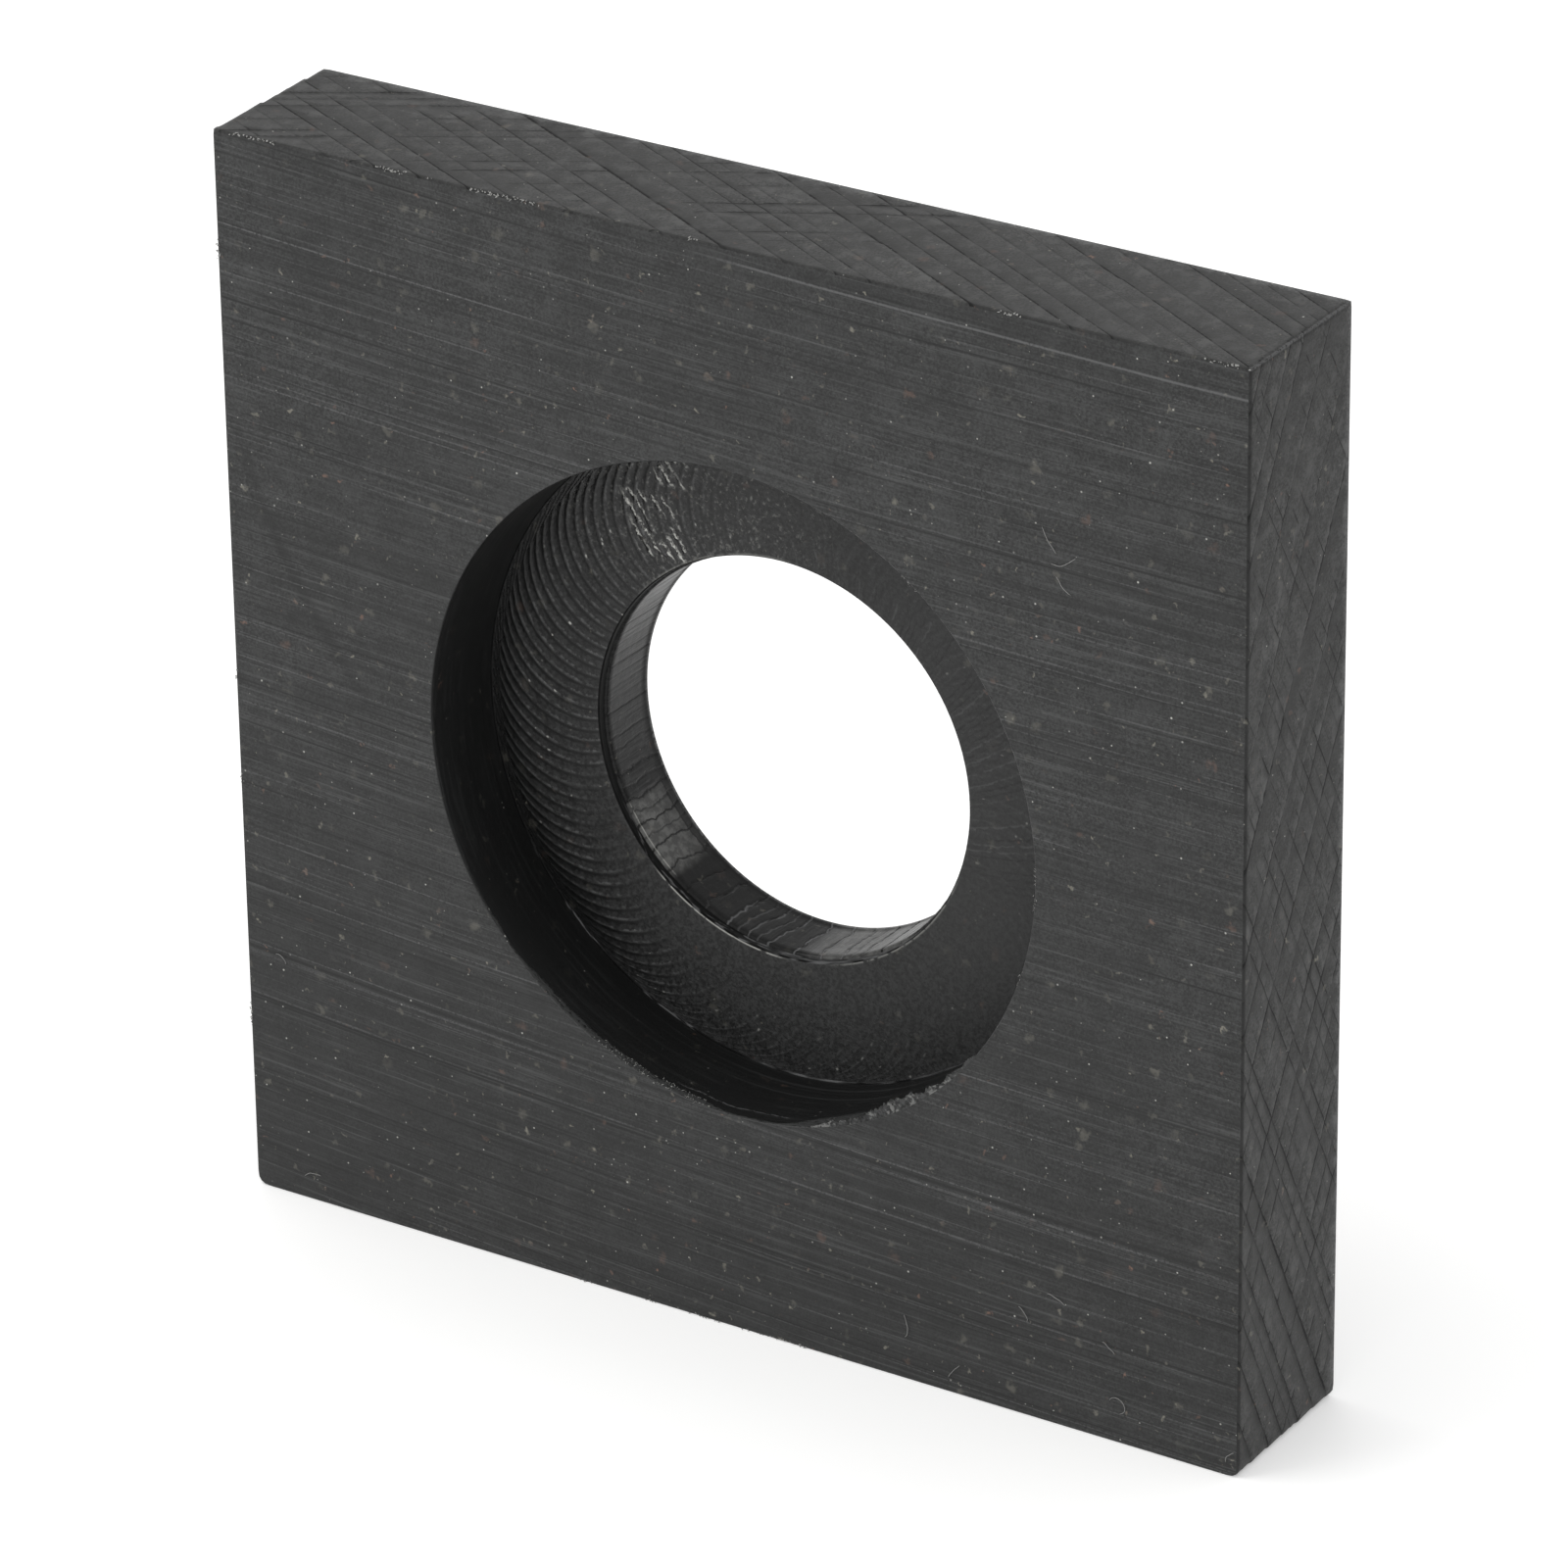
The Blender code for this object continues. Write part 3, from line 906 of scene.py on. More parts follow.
def square_loop(inset, y, corner_radius, upper_radius):
    """Returns the slab's outline, inset by a distance, with as many points as a ring has."""
    half = np.array([SLAB_SIZE.x / 2.0 - inset, SLAB_SIZE.z / 2.0 - inset])
    quarter = LOOP_POINTS // 4
    run = np.linspace(-1.0, 1.0, quarter, endpoint=False)
    ones = np.ones(quarter)
    sides = [(ones, run), (-run, ones), (-ones, -run), (run, -ones)]
    unit = np.concatenate([np.stack(side, axis=1) for side in sides])
    flat = np.roll(unit, -(quarter // 2), axis=0) * half
    for right in (-1.0, 1.0):
        for up, radius in ((-1.0, corner_radius), (1.0, upper_radius)):
            radius = max(radius - inset, 0.02 * MM)
            centre = (half - radius) * np.array([right, up])
            away = flat - centre
            inside = (away[:, 0] * right > 0.0) & (away[:, 1] * up > 0.0)
            reach = np.linalg.norm(away[inside], axis=1, keepdims=True)
            flat[inside] = centre + away[inside] * (radius / reach)
    loop = np.empty((LOOP_POINTS, 3))
    loop[:, 0] = SLAB_MIDDLE.x + flat[:, 0]
    loop[:, 1] = y
    loop[:, 2] = SLAB_MIDDLE.z + flat[:, 1]
    return loop


class LoopMesh:
    """A closed surface made of loops of points, one after the other, and the bands between them."""

    def __init__(self):
        self.loops = []
        self.weights = []
        self.bands = []
        self.untwist = 0

    def add(self, loop, finish=None, **weights):
        """Adds a loop. The finish is that of the band before it; weights say how much tools mark it."""
        if self.loops:
            self.bands.append(finish)
        self.loops.append(loop)
        self.weights.append(weights)

    def close(self, finish):
        """Joins the last loop to the first."""
        self.bands.append(finish)

    def faces(self, index, starts):
        """Returns the faces of one band."""
        following = (index + 1) % len(self.loops)
        here, there = len(self.loops[index]), len(self.loops[following])
        first, second = starts[index], starts[following]
        if here == there and self.bands[index] == SAWN:
            return self.alternating(first, second, here, index)
        if here == there:
            return [
                (first + k, first + (k + 1) % here, second + (k + 1) % here, second + k) for k in range(here)
            ]
        if here < there:
            return self.doubling(first, second, here, 0)
        return [face[::-1] for face in self.doubling(second, first, there, self.untwist)]

    @staticmethod
    def alternating(first, second, count, row):
        """Returns triangles whose diagonals alternate, so that edges run both ways as the saw did."""
        made = []
        for k in range(count):
            a, b = first + k, first + (k + 1) % count
            c, d = second + (k + 1) % count, second + k
            made += [(a, b, c), (a, c, d)] if (k + row) % 2 else [(a, b, d), (b, c, d)]
        return made

    @staticmethod
    def doubling(coarse, fine, count, offset):
        """Returns the triangles between a loop and one with twice its points, offset by some of those."""
        made = []
        for k in range(count):
            a, b = coarse + k, coarse + (k + 1) % count
            p, q, r = (fine + (2 * k + offset + step) % (2 * count) for step in range(3))
            made += [(a, q, p), (a, b, q), (b, r, q)]
        return made

    def mesh(self, name):
        """Returns the mesh, with its tool weights and its regions as attributes."""
        starts = np.concatenate([[0], np.cumsum([len(loop) for loop in self.loops])[:-1]])
        starts = [int(start) for start in starts]
        faces, regions = [], []
        for index, finish in enumerate(self.bands):
            band = self.faces(index, starts)
            faces += band
            regions += [finish] * len(band)
        mesh = bpy.data.meshes.new(name)
        mesh.from_pydata(np.concatenate(self.loops).tolist(), [], faces)
        region = mesh.attributes.new("region", "INT", "FACE")
        region.data.foreach_set("value", regions)
        for tool in ("saw", "mill", "chatter", "burr"):
            layer = mesh.attributes.new(tool, "FLOAT", "POINT")
            values = [np.full(len(loop), kept.get(tool, 0.0)) for loop, kept in zip(self.loops, self.weights)]
            layer.data.foreach_set("value", np.concatenate(values).astype(np.float32))
        return mesh


def rounding(steps):
    """Yields the inward and the forward share of each step round a quarter circle, ends left out."""
    for step in range(1, steps):
        angle = math.radians(90.0) * step / steps
        yield 1.0 - math.cos(angle), math.sin(angle)


# The counterbore's wall from the front, with two faint steps where the cutter went deeper: how deep each row
# lies and how far the wall has narrowed, in millimetres, and how much burrs disturb it
WALL_ROWS = (
    (0.3, 0.0, 0.45),
    (0.55, 0.0, 0.4),
    (0.8, 0.0, 0.3),
    (1.1, 0.0, 0.12),
    (2.2, 0.0, 0.0),
    (4.2, 0.0, 0.0),
    (4.36, 0.02, 0.0),
    (5.5, 0.02, 0.0),
    (5.66, 0.04, 0.0),
    (5.74, 0.04, 0.0),
)
# The smallest chamfer, on the round edges
CHAMFER = 0.08 * MM


def slab_loops(shape, marks):
    """Returns the slab's surface as loops, from the bore's back edge round the outside and back in."""
    front, back = SLAB_LOW.y, SLAB_HIGH.y
    edge, corner = shape.edge_radius, shape.corner_radius
    rim, shift = shape.counterbore_radius, shape.counterbore_shift
    step, bore, lip = shape.step_radius, shape.bore_radius, shape.lip_radius
    surface = LoopMesh()

    # The plain back, from the bore out
    surface.add(round_loop(lip, back - CHAMFER))
    inner = round_loop(lip + CHAMFER, back)
    outer = square_loop(edge + CHAMFER, back, corner, edge)
    surface.add(inner, TORN)
    for ring in range(BACK_RINGS + 1):
        share = max(0.01, ring / BACK_RINGS)
        surface.add(inner * (1.0 - share) + outer * share, SANDED)
    surface.add(square_loop(edge, back, corner, edge), SANDED)

    # The outer edge, from back to front
    for rise, run in rounding(ROUNDING_STEPS):
        surface.add(square_loop(edge * (1.0 - run), back - edge * rise, corner, edge), SAWN)
    for row in range(SIDE_ROWS + 1):
        y = back - edge - (back - front - 2.0 * edge) * row / SIDE_ROWS
        near_end = min(row, SIDE_ROWS - row)
        surface.add(square_loop(0.0, y, corner, edge), SAWN, saw=min(1.0, near_end / 3.0))
    for rise, run in rounding(ROUNDING_STEPS):
        surface.add(square_loop(edge * rise, front + edge * (1.0 - run), corner, edge), SAWN)
    surface.add(square_loop(edge, front, corner, edge), SAWN)

    # The front face, in to the counterbore's rim
    outer = square_loop(edge + CHAMFER, front, corner, edge)
    inner = round_loop(rim + 0.22 * MM, front, shift)
    for ring in range(FACE_RINGS + 1):
        share = ring / FACE_RINGS
        surface.add(outer * (1.0 - share) + inner * share, SANDED)
    surface.add(round_loop(rim + 0.13 * MM, front, shift), SANDED, burr=0.3)
    surface.add(round_loop(rim + 0.05 * MM, front, shift), SANDED, burr=0.8)
    surface.add(round_loop(rim, front + 0.05 * MM, shift), TURNED, burr=0.5)

    # The counterbore's wall and the fillet
    fillet = shape.counterbore_fillet
    for depth_mm, narrowing_mm, burr in WALL_ROWS:
        surface.add(round_loop(rim - narrowing_mm * MM, front + depth_mm * MM, shift), TURNED, burr=burr)
    narrowing = WALL_ROWS[-1][1] * MM
    surface.add(round_loop(rim - narrowing, FLOOR_Y - fillet, shift), TURNED)
    for rise, run in rounding(2 * ROUNDING_STEPS):
        radius = rim - narrowing - (fillet - narrowing) * rise
        surface.add(round_loop(radius, FLOOR_Y - fillet * (1.0 - run), shift), PARED)

    # The floor, twisted so that its edges follow the milling ridges
    fine = 2 * LOOP_POINTS
    outer_radius, inner_radius = rim - fillet, step + 0.3 * MM
    start = cutter_sweep(outer_radius, outer_radius, marks)
    sweep = cutter_sweep(inner_radius, outer_radius, marks) - start
    twist = 2 * round(sweep * fine / math.tau / 2.0)
    for ring in range(FLOOR_RINGS + 1):
        share = ring / FLOOR_RINGS
        radius = outer_radius + (inner_radius - outer_radius) * share
        swept = (cutter_sweep(radius, outer_radius, marks) - start) / sweep
        turn = swept * twist * math.tau / fine
        weight = min(1.0, ring / 2.0, 0.35 + FLOOR_RINGS - ring)
        surface.add(round_loop(radius, FLOOR_Y, shift * (1.0 - share), turn, fine), MILLED, mill=weight)
    surface.untwist = -twist

    # The step and the bore, to the lip at the back
    step_end = FLOOR_Y + shape.step_depth
    lip_start = back - shape.lip_thickness
    surface.add(round_loop(step + CHAMFER, FLOOR_Y), MILLED, burr=0.3)
    surface.add(round_loop(step, FLOOR_Y + CHAMFER), PARED, burr=0.2)
    surface.add(round_loop(step, FLOOR_Y + 2.0 * CHAMFER), PARED)
    surface.add(round_loop(step, step_end - 2.0 * CHAMFER), PARED)
    surface.add(round_loop(step, step_end - CHAMFER), PARED)
    surface.add(round_loop((step + bore) / 2.0, step_end), TORN)
    for row in range(BORE_ROWS + 1):
        share = row / BORE_ROWS
        y = step_end + CHAMFER + (lip_start - step_end - 2.0 * CHAMFER) * share
        surface.add(round_loop(bore, y), TORN, chatter=min(1.0, 0.5 + row, 0.5 + BORE_ROWS - row))
    surface.add(round_loop(lip, lip_start), TORN)
    surface.add(round_loop(lip, lip_start + CHAMFER), TORN)
    surface.add(round_loop(lip, back - 2.0 * CHAMFER), TORN)
    surface.close(TORN)
    return surface


# Geometry trees


def geometry_tree(name, sizes):
    """Returns a new geometry tree's nodes and the node of its inputs, which are named."""
    tree = bpy.data.node_groups.new(name, "GeometryNodeTree")
    tree.interface.new_socket("Geometry", in_out="INPUT", socket_type="NodeSocketGeometry")
    for label in sizes:
        tree.interface.new_socket(label, in_out="INPUT", socket_type="NodeSocketFloat")
    tree.interface.new_socket("Geometry", in_out="OUTPUT", socket_type="NodeSocketGeometry")
    nodes = Nodes(tree)
    return nodes, nodes.node("NodeGroupInput")


def run_tree(made, nodes, sizes):
    """Runs a tree on an object and leaves the result in it as a plain mesh."""
    modifier = made.modifiers.new(nodes.tree.name, "NODES")
    modifier.node_group = nodes.tree
    for item in nodes.tree.interface.items_tree:
        if item.in_out == "INPUT" and item.name in sizes:
            modifier[item.identifier] = sizes[item.name]
    graph = bpy.context.evaluated_depsgraph_get()
    result = bpy.data.meshes.new_from_object(made.evaluated_get(graph), depsgraph=graph)
    made.modifiers.remove(modifier)
    made.data = result


def tool_mark_tree(shape, marks, materials):
    """Returns the tree that cuts every tool mark into the slab and gives each region its finish."""
    sizes = ("Saw depth", "Ridge height", "Chatter depth", "Burr height")
    nodes, source = geometry_tree("tool_marks", sizes)
    saw_depth, ridge_height, chatter_depth, burr_height = (
        nodes.value(source, label) for label in sizes
    )

    def weight(tool):
        attribute = nodes.node("GeometryNodeInputNamedAttribute", {"data_type": "FLOAT"}, {"Name": tool})
        return nodes.value(attribute)

    x, y, z = nodes.split(nodes.node("GeometryNodeInputPosition").outputs[0])
    normal_x, _, normal_z = nodes.split(nodes.node("GeometryNodeInputNormal").outputs[0])

    # The saw's strips are cut into the outer edges
    strips, _ = crossed_saw_cuts(nodes, x, y, z, marks.seed)
    cut = (strips - 0.55) * weight("saw") * saw_depth

    # The end mill's ridges stand up from the floor
    shift = shape.counterbore_shift
    radius, angle = polar(nodes, x, z, shift, SLAB_MIDDLE.z + shift)
    floor_radius = shape.counterbore_radius - shape.counterbore_fillet
    ridge, _ = milling_ridges(nodes, radius, angle, marks, floor_radius)
    lift = ridge * ridge_strength(nodes, angle) * weight("mill") * ridge_height

    # The round edges are ragged, most at the lower left, and lean into the opening
    ragged = nodes.noise(nodes.vector(angle * 45.0, y * 1500.0, float(marks.seed)), 1.0, 3.0, 0.75)
    raggedness = 0.25 + toward(nodes, angle, 232.0, 45.0, 85.0)
    raggedness = raggedness + toward(nodes, angle, 22.0, 38.0, 60.0) * 0.6
    curl = (ragged - 0.45) * raggedness * weight("burr") * burr_height

    # The bore is torn in lines along its length
    _, bore_angle = polar(nodes, x, z, 0.0, SLAB_MIDDLE.z)
    tear = chatter_lines(nodes, bore_angle, y, marks) * weight("chatter") * chatter_depth
    outward = tear - curl
    offset = nodes.vector(
        normal_x * cut + nodes.math("COSINE", angle) * outward,
        -(lift + curl),
        normal_z * cut + nodes.math("SINE", angle) * outward,
    )
    moved = nodes.node("GeometryNodeSetPosition", inputs={"Geometry": source.outputs[0], "Offset": offset})

    region = nodes.node("GeometryNodeInputNamedAttribute", {"data_type": "INT"}, {"Name": "region"})
    finished = nodes.node("GeometryNodeRealizeInstances", inputs={0: moved.outputs[0]})
    for index, material in enumerate(materials):
        here = abs(nodes.value(region) - float(index)) < 0.5
        inputs = {"Geometry": finished.outputs[0], "Selection": here, "Material": material}
        finished = nodes.node("GeometryNodeSetMaterial", inputs=inputs)
    nodes.node("NodeGroupOutput", inputs={0: finished.outputs[0]})
    return nodes


def flake_tree(material):
    """Returns the tree that strews torn flakes of rubber along a line."""
    sizes = ("Spacing", "Flake length", "Flake width", "Scatter", "Share", "Seed")
    nodes, source = geometry_tree("torn_flakes", sizes)
    spacing, flake_length, flake_width, scatter, share, seed = (
        nodes.value(source, label) for label in sizes
    )

    def random_vector(low, high, offset):
        inputs = {0: low, 1: high, "Seed": seed + float(offset)}
        return nodes.node("FunctionNodeRandomValue", {"data_type": "FLOAT_VECTOR"}, inputs).outputs[0]

    line = nodes.node("GeometryNodeMeshToCurve", inputs={0: source.outputs[0]})
    inputs = {"Curve": line.outputs[0], "Length": spacing}
    points = nodes.node("GeometryNodeResampleCurve", {"mode": "LENGTH"}, inputs)
    flake = nodes.node("GeometryNodeMeshCone", inputs={
        "Vertices": 4, "Radius Top": 0.1, "Radius Bottom": 0.5, "Depth": 1.0,
    })
    chosen = nodes.noise(nodes.node("GeometryNodeInputPosition").outputs[0], 260.0, 3.0) < share
    scale = random_vector((0.4, 0.4, 0.3), (1.0, 1.0, 1.0), 2)
    inputs = {
        "Points": points.outputs[0],
        "Selection": chosen,
        "Instance": flake.outputs[0],
        "Rotation": random_vector((-3.1, -3.1, -3.1), (3.1, 3.1, 3.1), 1),
        "Scale": nodes.vector_math("MULTIPLY", scale, nodes.vector(flake_width, flake_width, flake_length)),
    }
    flakes = nodes.node("GeometryNodeInstanceOnPoints", inputs=inputs)
    strewn = nodes.vector_math("SCALE", random_vector((-1.0, -1.0, -1.0), (1.0, 1.0, 1.0), 3), scatter)
    inputs = {"Instances": flakes.outputs[0], "Translation": strewn, "Local Space": False}
    moved = nodes.node("GeometryNodeTranslateInstances", inputs=inputs)
    real = nodes.node("GeometryNodeRealizeInstances", inputs={0: moved.outputs[0]})
    finished = nodes.node("GeometryNodeSetMaterial", inputs={0: real.outputs[0], "Material": material})
    nodes.node("NodeGroupOutput", inputs={0: finished.outputs[0]})
    return nodes


# Objects


def add_object(name, mesh):
    """Returns a new object at the origin."""
    made = bpy.data.objects.new(name, mesh)
    bpy.context.scene.collection.objects.link(made)
    return made


def attach(made):
    """Makes a piece part of the slab's one body."""
    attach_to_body(made, "root")


def line_mesh(name, lines):
    """Returns a mesh of bare lines through points."""
    points, edges = [], []
    for line in lines:
        edges += [(len(points) + k, len(points) + k + 1) for k in range(len(line) - 1)]
        points += line
    mesh = bpy.data.meshes.new(name)
    mesh.from_pydata(points, edges, [])
    return mesh


def rim_arc(start_degrees, end_degrees, radius, y, shift):
    """Returns the points of an arc round the counterbore."""
    count = 2 * abs(round(end_degrees - start_degrees)) + 2
    angles = np.radians(np.linspace(start_degrees, end_degrees, count))
    return [
        (shift + radius * math.cos(angle), y, SLAB_MIDDLE.z + shift + radius * math.sin(angle))
        for angle in angles
    ]


def fringe(start_degrees, end_degrees, widest, dice):
    """Returns the points and faces of a thin ragged flap that hangs into the counterbore from its rim.

    It is a strip with four long edges, and its inner two wander.
    """
    count = 4 * round(end_degrees - start_degrees)
    points, faces = [], []
    coarse = 0.5
    for step in range(count + 1):
        share = step / count
        coarse += dice.uniform(-0.22, 0.22) + (0.5 - coarse) * 0.12
        reach = math.sin(math.pi * share) ** 0.6 * (0.35 + 0.5 * coarse + dice.uniform(-0.07, 0.07))
        reach = max(0.04, reach) * widest
        angle = math.radians(start_degrees + (end_degrees - start_degrees) * share)
        lean = dice.uniform(-0.03, 0.03) * MM
        for inward, depth in ((-0.03, 0.0), (reach / MM, -0.02), (reach / MM, 0.05), (-0.03, 0.16)):
            points.append((inward * MM, depth * MM + (lean if inward > 0.0 else 0.0), angle))
    for step in range(count):
        first, second = 4 * step, 4 * step + 4
        faces += [(first + k, second + k, second + (k + 1) % 4, first + (k + 1) % 4) for k in range(4)]
    faces.append((0, 1, 2, 3))
    faces.append(tuple(4 * count + k for k in reversed(range(4))))
    return points, faces


def tube(points, radius, sides=5):
    """Returns the points and faces of a closed thread that tapers at its ends."""
    line = [Vector(point) for point in points]
    made, faces = [], []
    for index, point in enumerate(line):
        ahead = line[min(index + 1, len(line) - 1)] - line[max(index - 1, 0)]
        side = ahead.cross(Vector((0.0, 1.0, 0.0))).normalized()
        other = ahead.cross(side).normalized()
        near_end = min(index, len(line) - 1 - index)
        reach = radius * (0.35 if near_end == 0 else 1.0)
        for corner in range(sides):
            turn = math.tau * corner / sides
            made.append(point + (side * math.cos(turn) + other * math.sin(turn)) * reach)
    for index in range(len(line) - 1):
        first, second = index * sides, (index + 1) * sides
        for corner in range(sides):
            following = (corner + 1) % sides
            faces.append((first + corner, first + following, second + following, second + corner))
    faces.append(tuple(reversed(range(sides))))
    last = (len(line) - 1) * sides
    faces.append(tuple(last + corner for corner in range(sides)))
    return made, faces


# Operators


class SLAB_OT_build_body(bpy.types.Operator):
    """Builds the slab with its tool marks and finishes"""

    bl_idname = "slab.build_body"
    bl_label = "Slab"

    def execute(self, context):
        settings = context.scene.slab_settings
        shape, marks = settings.shape, settings.marks
        materials = [
            sanded_face(settings), sawn_edge(settings), turned_wall(settings),
            milled_floor(settings), torn_bore(settings), pared_step(settings),
        ]
        made = add_object("machined_slab", slab_loops(shape, marks).mesh("machined_slab"))
        run_tree(made, tool_mark_tree(shape, marks, materials), {
            "Saw depth": marks.saw_depth,
            "Ridge height": marks.ridge_height,
            "Chatter depth": marks.chatter_depth,
            "Burr height": marks.burr_height,
        })
        made.data.shade_smooth()
        attach(made)
        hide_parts("slab")
        return {"FINISHED"}


class SLAB_OT_build_burrs(bpy.types.Operator):
    """Strews torn flakes along the rim and the front edges, and hangs a ragged flap from the rim"""

    bl_idname = "slab.build_burrs"
    bl_label = "Burrs"

    # The stretches of the front edges that carry flakes, in millimetres across or up
    TOP_STRETCHES = ((-38.0, -13.0), (-2.0, 2.0), (18.0, 22.0), (35.0, 38.0))
    LEFT_STRETCHES = ((9.0, 16.0), (30.0, 44.0), (66.0, 76.3))
    LOWER_STRETCH = (-12.0, 6.0)

    def execute(self, context):
        settings = context.scene.slab_settings
        shape = settings.shape
        front = SLAB_LOW.y
        rim, shift = shape.counterbore_radius, shape.counterbore_shift
        pale = plain_material("torn_flake", settings.finish.chip, 0.6)
        rim_lines = [
            rim_arc(206.0, 292.0, rim - 0.02 * MM, front + depth_mm * MM, shift)
            for depth_mm in (0.1, 0.6)
        ]
        rim_lines.append(rim_arc(-22.0, 62.0, rim + 0.02 * MM, front + 0.02 * MM, shift))
        inset = 0.06 * MM
        left, bottom, top = SLAB_LOW.x + inset, SLAB_LOW.z + inset, SLAB_HIGH.z - inset
        edge_lines = [[(place * MM, front + inset, top) for place in ends] for ends in self.TOP_STRETCHES]
        edge_lines += [[(left, front + inset, place * MM) for place in ends] for ends in self.LEFT_STRETCHES]
        edge_lines.append([(place * MM, front + inset, bottom) for place in self.LOWER_STRETCH])
        for name, lines, share, long_mm, wide_mm in (
            ("rim_burrs", rim_lines, 0.40, 0.26, 0.06), ("edge_burrs", edge_lines, 0.46, 0.24, 0.17),
        ):
            made = add_object(name, line_mesh(name, lines))
            run_tree(made, flake_tree(pale), {
                "Spacing": 0.12 * MM,
                "Flake length": long_mm * MM,
                "Flake width": wide_mm * MM,
                "Scatter": 0.09 * MM,
                "Share": share,
                "Seed": float(settings.marks.seed),
            })
            attach(made)
        self.add_fringe(settings)
        return {"FINISHED"}

    @staticmethod
    def add_fringe(settings):
        """Adds the ragged flap at the lower right of the counterbore's rim."""
        shape = settings.shape
        rim, shift = shape.counterbore_radius, shape.counterbore_shift
        points, faces = fringe(284.0, 324.0, 0.85 * MM, random.Random(settings.marks.seed))
        placed = [
            (
                shift + (rim - inward) * math.cos(angle),
                SLAB_LOW.y + depth,
                SLAB_MIDDLE.z + shift + (rim - inward) * math.sin(angle),
            )
            for inward, depth, angle in points
        ]
        mesh = bpy.data.meshes.new("rim_fringe")
        mesh.from_pydata(placed, [], faces)
        mesh.materials.append(shredded_rubber(settings))
        made = add_object("rim_fringe", mesh)
        attach(made)


class SLAB_OT_build_fibres(bpy.types.Operator):
    """Lays stray curled fibres on the faces"""

    bl_idname = "slab.build_fibres"
    bl_label = "Fibres"

    # Millimetres right of the middle and below the top, length in millimetres, heading in degrees, and how
    # many degrees it curls in each millimetre
    FIBRES = (
        (23.6, 13.6, 1.9, -62.0, 30.0),
        (26.0, 15.2, 2.0, 226.0, -24.0),
        (24.6, 16.7, 1.5, -52.0, 26.0),
        (22.5, 69.5, 1.3, 60.0, 80.0),
        (24.0, 67.0, 1.5, 10.0, -60.0),
        (29.0, 70.0, 1.2, 110.0, 90.0),
        (13.3, 73.3, 1.8, 35.0, 45.0),
        (16.6, 75.3, 1.4, 80.0, -30.0),
        (29.4, 74.2, 2.4, 0.0, 130.0),
        (-32.8, 74.4, 1.5, 150.0, 60.0),
        (37.2, 75.4, 1.1, 100.0, -70.0),
        (-35.0, 59.0, 1.2, 80.0, 70.0),
    )

    def execute(self, context):
        settings = context.scene.slab_settings
        dice = random.Random(settings.marks.seed)
        points, faces = [], []
        for across, down, long_mm, heading, curl in self.FIBRES:
            steps = 14
            turn = math.radians(heading)
            place = Vector((across * MM, SLAB_LOW.y, SLAB_HIGH.z - down * MM))
            line = []
            for step in range(steps + 1):
                lift = 0.03 + 0.12 * math.sin(math.pi * step / steps) ** 2
                line.append(place + Vector((0.0, -lift * MM, 0.0)))
                turn += math.radians(curl * long_mm / steps + dice.uniform(-9.0, 9.0))
                place = place + Vector((math.cos(turn), 0.0, math.sin(turn))) * (long_mm * MM / steps)
            more_points, more_faces = tube(line, 0.024 * MM)
            faces += [tuple(index + len(points) for index in face) for face in more_faces]
            points += more_points
        mesh = bpy.data.meshes.new("stray_fibres")
        mesh.from_pydata(points, [], faces)
        mesh.materials.append(plain_material("fibre", settings.finish.fibre, 0.7))
        made = add_object("stray_fibres", mesh)
        made.data.shade_smooth()
        attach(made)
        return {"FINISHED"}


class SLAB_OT_build_stage(bpy.types.Operator):
    """Builds the pale floor, the soft studio light and the camera"""

    bl_idname = "slab.build_stage"
    bl_label = "Stage"

    def execute(self, context):
        studio = context.scene.slab_settings.studio
        self.add_floor()
        self.add_sky(context.scene, studio.sky_light)
        overhead = add_panel("overhead_panel", (-0.25, -0.15, 1.0), 0.7, studio.key_light)
        overhead.color = studio.key_tint
        add_panel("left_panel", (-0.7, -0.6, 0.7), 0.6, studio.side_light)
        add_panel("back_panel", (-0.5, 0.9, 0.5), 0.6, studio.back_light)
        add_panel("small_lamp", (0.5, -0.7, 0.75), 0.14, studio.spark_light)
        add_camera(context.scene, studio)
        context.scene.view_settings.view_transform = "Standard"
        return {"FINISHED"}

    @staticmethod
    def add_floor():
        """Adds the floor under the slab's lower edge."""
        half = 3.0
        z = SLAB_LOW.z
        corners = [(-half, -half, z), (half, -half, z), (half, half, z), (-half, half, z)]
        mesh = bpy.data.meshes.new("floor")
        mesh.from_pydata(corners, [], [(0, 1, 2, 3)])
        material, nodes, _ = start_material("pale_floor")
        shader = nodes.node("ShaderNodeBsdfPrincipled", inputs={
            "Base Color": (0.9, 0.9, 0.9, 1.0),
            "Roughness": 0.9,
            "Specular IOR Level": 0.0,
            "Emission Color": (1.0, 1.0, 1.0, 1.0),
            "Emission Strength": 0.25,
        })
        nodes.node("ShaderNodeOutputMaterial", inputs={0: shader.outputs[0]})
        mesh.materials.append(material)
        add_object("floor", mesh)

    @staticmethod
    def add_sky(scene, strength):
        """Surrounds the scene with even white light."""
        world = bpy.data.worlds.new("studio")
        world.use_nodes = True
        sky = world.node_tree.nodes["Background"]
        sky.inputs["Color"].default_value = (1.0, 1.0, 1.0, 1.0)
        sky.inputs["Strength"].default_value = strength
        scene.world = world


def add_panel(name, away, size, radiance):
    """Adds a square lamp panel some way from the slab's middle, facing it, and returns its light."""
    away = Vector(away)
    lamp = bpy.data.lights.new(name, "AREA")
    lamp.shape = "SQUARE"
    lamp.size = size
    lamp.energy = radiance * math.pi * size * size
    made = add_object(name, lamp)
    made.location = SLAB_MIDDLE + away
    made.rotation_euler = (-away).to_track_quat("-Z", "Y").to_euler()
    return lamp


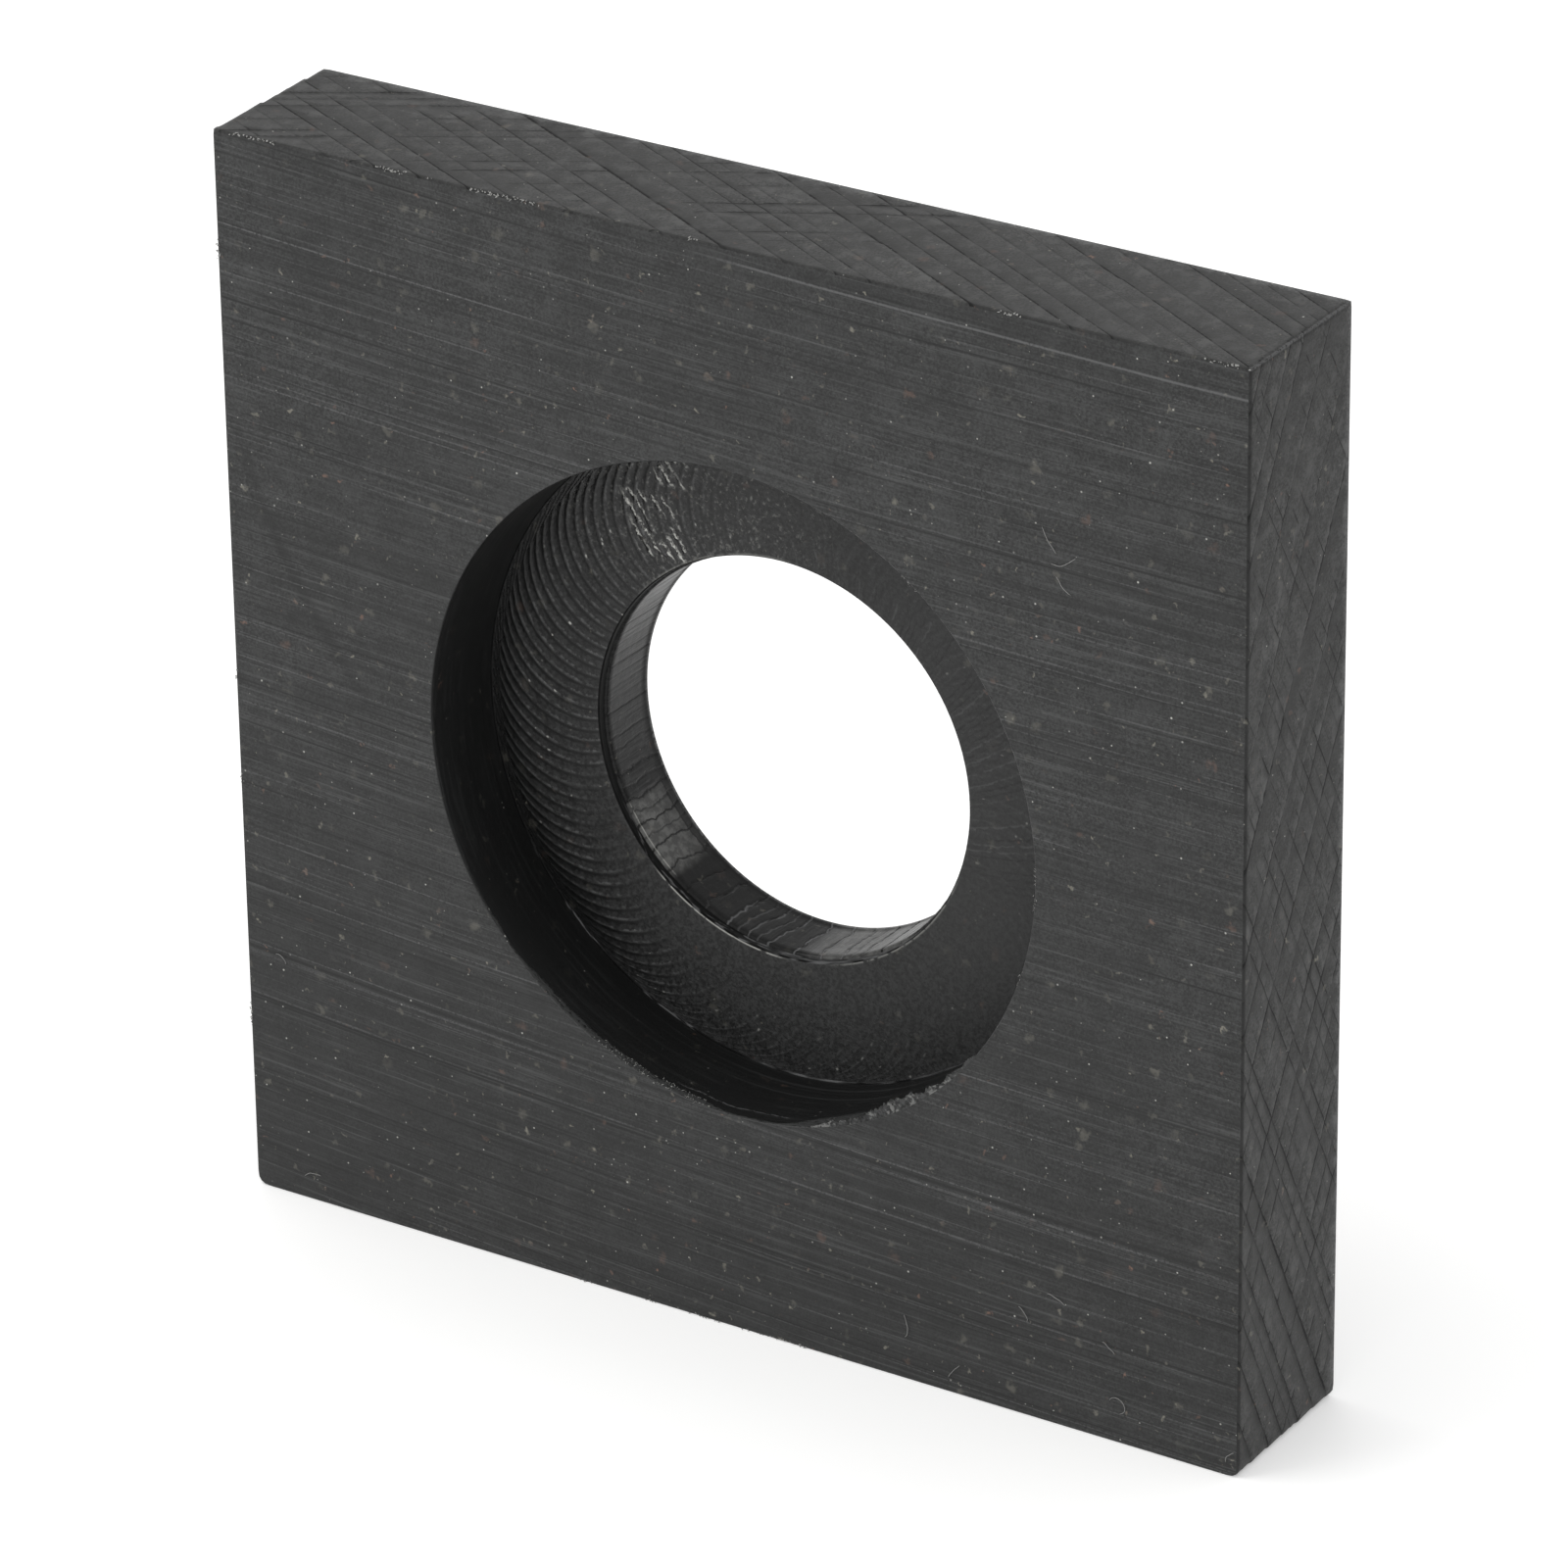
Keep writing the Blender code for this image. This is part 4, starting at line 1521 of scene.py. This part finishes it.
def add_camera(scene, studio):
    """Adds the camera, which looks at the middle of the slab."""
    azimuth, elevation, roll = studio.camera_azimuth, studio.camera_elevation, studio.camera_roll
    flat = Vector((-math.sin(azimuth), math.cos(azimuth), 0.0))
    forward = flat * math.cos(elevation) - Vector((0.0, 0.0, math.sin(elevation)))
    level = Vector((math.cos(azimuth), math.sin(azimuth), 0.0))
    upright = level.cross(forward)
    right = level * math.cos(roll) - upright * math.sin(roll)
    target = SLAB_MIDDLE + Vector((0.7, -0.15, -1.1)) * MM
    lens = bpy.data.cameras.new("camera")
    lens.lens = studio.camera_lens
    lens.sensor_width = 36.0
    lens.clip_start = 0.01
    made = add_object("camera", lens)
    turned = Matrix((right, right.cross(forward), -forward)).transposed()
    made.matrix_world = Matrix.Translation(target - forward * studio.camera_distance) @ turned.to_4x4()
    scene.camera = made


class SLAB_PT_panel(bpy.types.Panel):
    """Lists the pieces that can be built"""

    bl_idname = "SLAB_PT_panel"
    bl_label = "Machined slab"
    bl_space_type = "VIEW_3D"
    bl_region_type = "UI"
    bl_category = "Slab"

    def draw(self, context):
        settings = context.scene.slab_settings
        for group in (settings.shape, settings.marks, settings.finish, settings.studio):
            box = self.layout.box()
            for name in group.__annotations__:
                box.prop(group, name)
        for operator in OPERATORS:
            self.layout.operator(operator.bl_idname)


OPERATORS = (SLAB_OT_build_body, SLAB_OT_build_burrs, SLAB_OT_build_fibres, SLAB_OT_build_stage)
CLASSES = (SlabShape, ToolMarks, Finish, Studio, Settings, *OPERATORS, SLAB_PT_panel)


def register():
    """Makes the classes and the settings known to Blender."""
    for item in CLASSES:
        bpy.utils.register_class(item)
    bpy.types.Scene.slab_settings = PointerProperty(type=Settings)


def unregister():
    """Takes the settings and the classes away again."""
    del bpy.types.Scene.slab_settings
    for item in reversed(CLASSES):
        bpy.utils.unregister_class(item)


def main():
    """Builds everything."""
    register()
    bpy.ops.slab.build_body()
    bpy.ops.slab.build_burrs()
    bpy.ops.slab.build_fibres()
    bpy.ops.slab.build_stage()


if __name__ == "__main__":
    main()
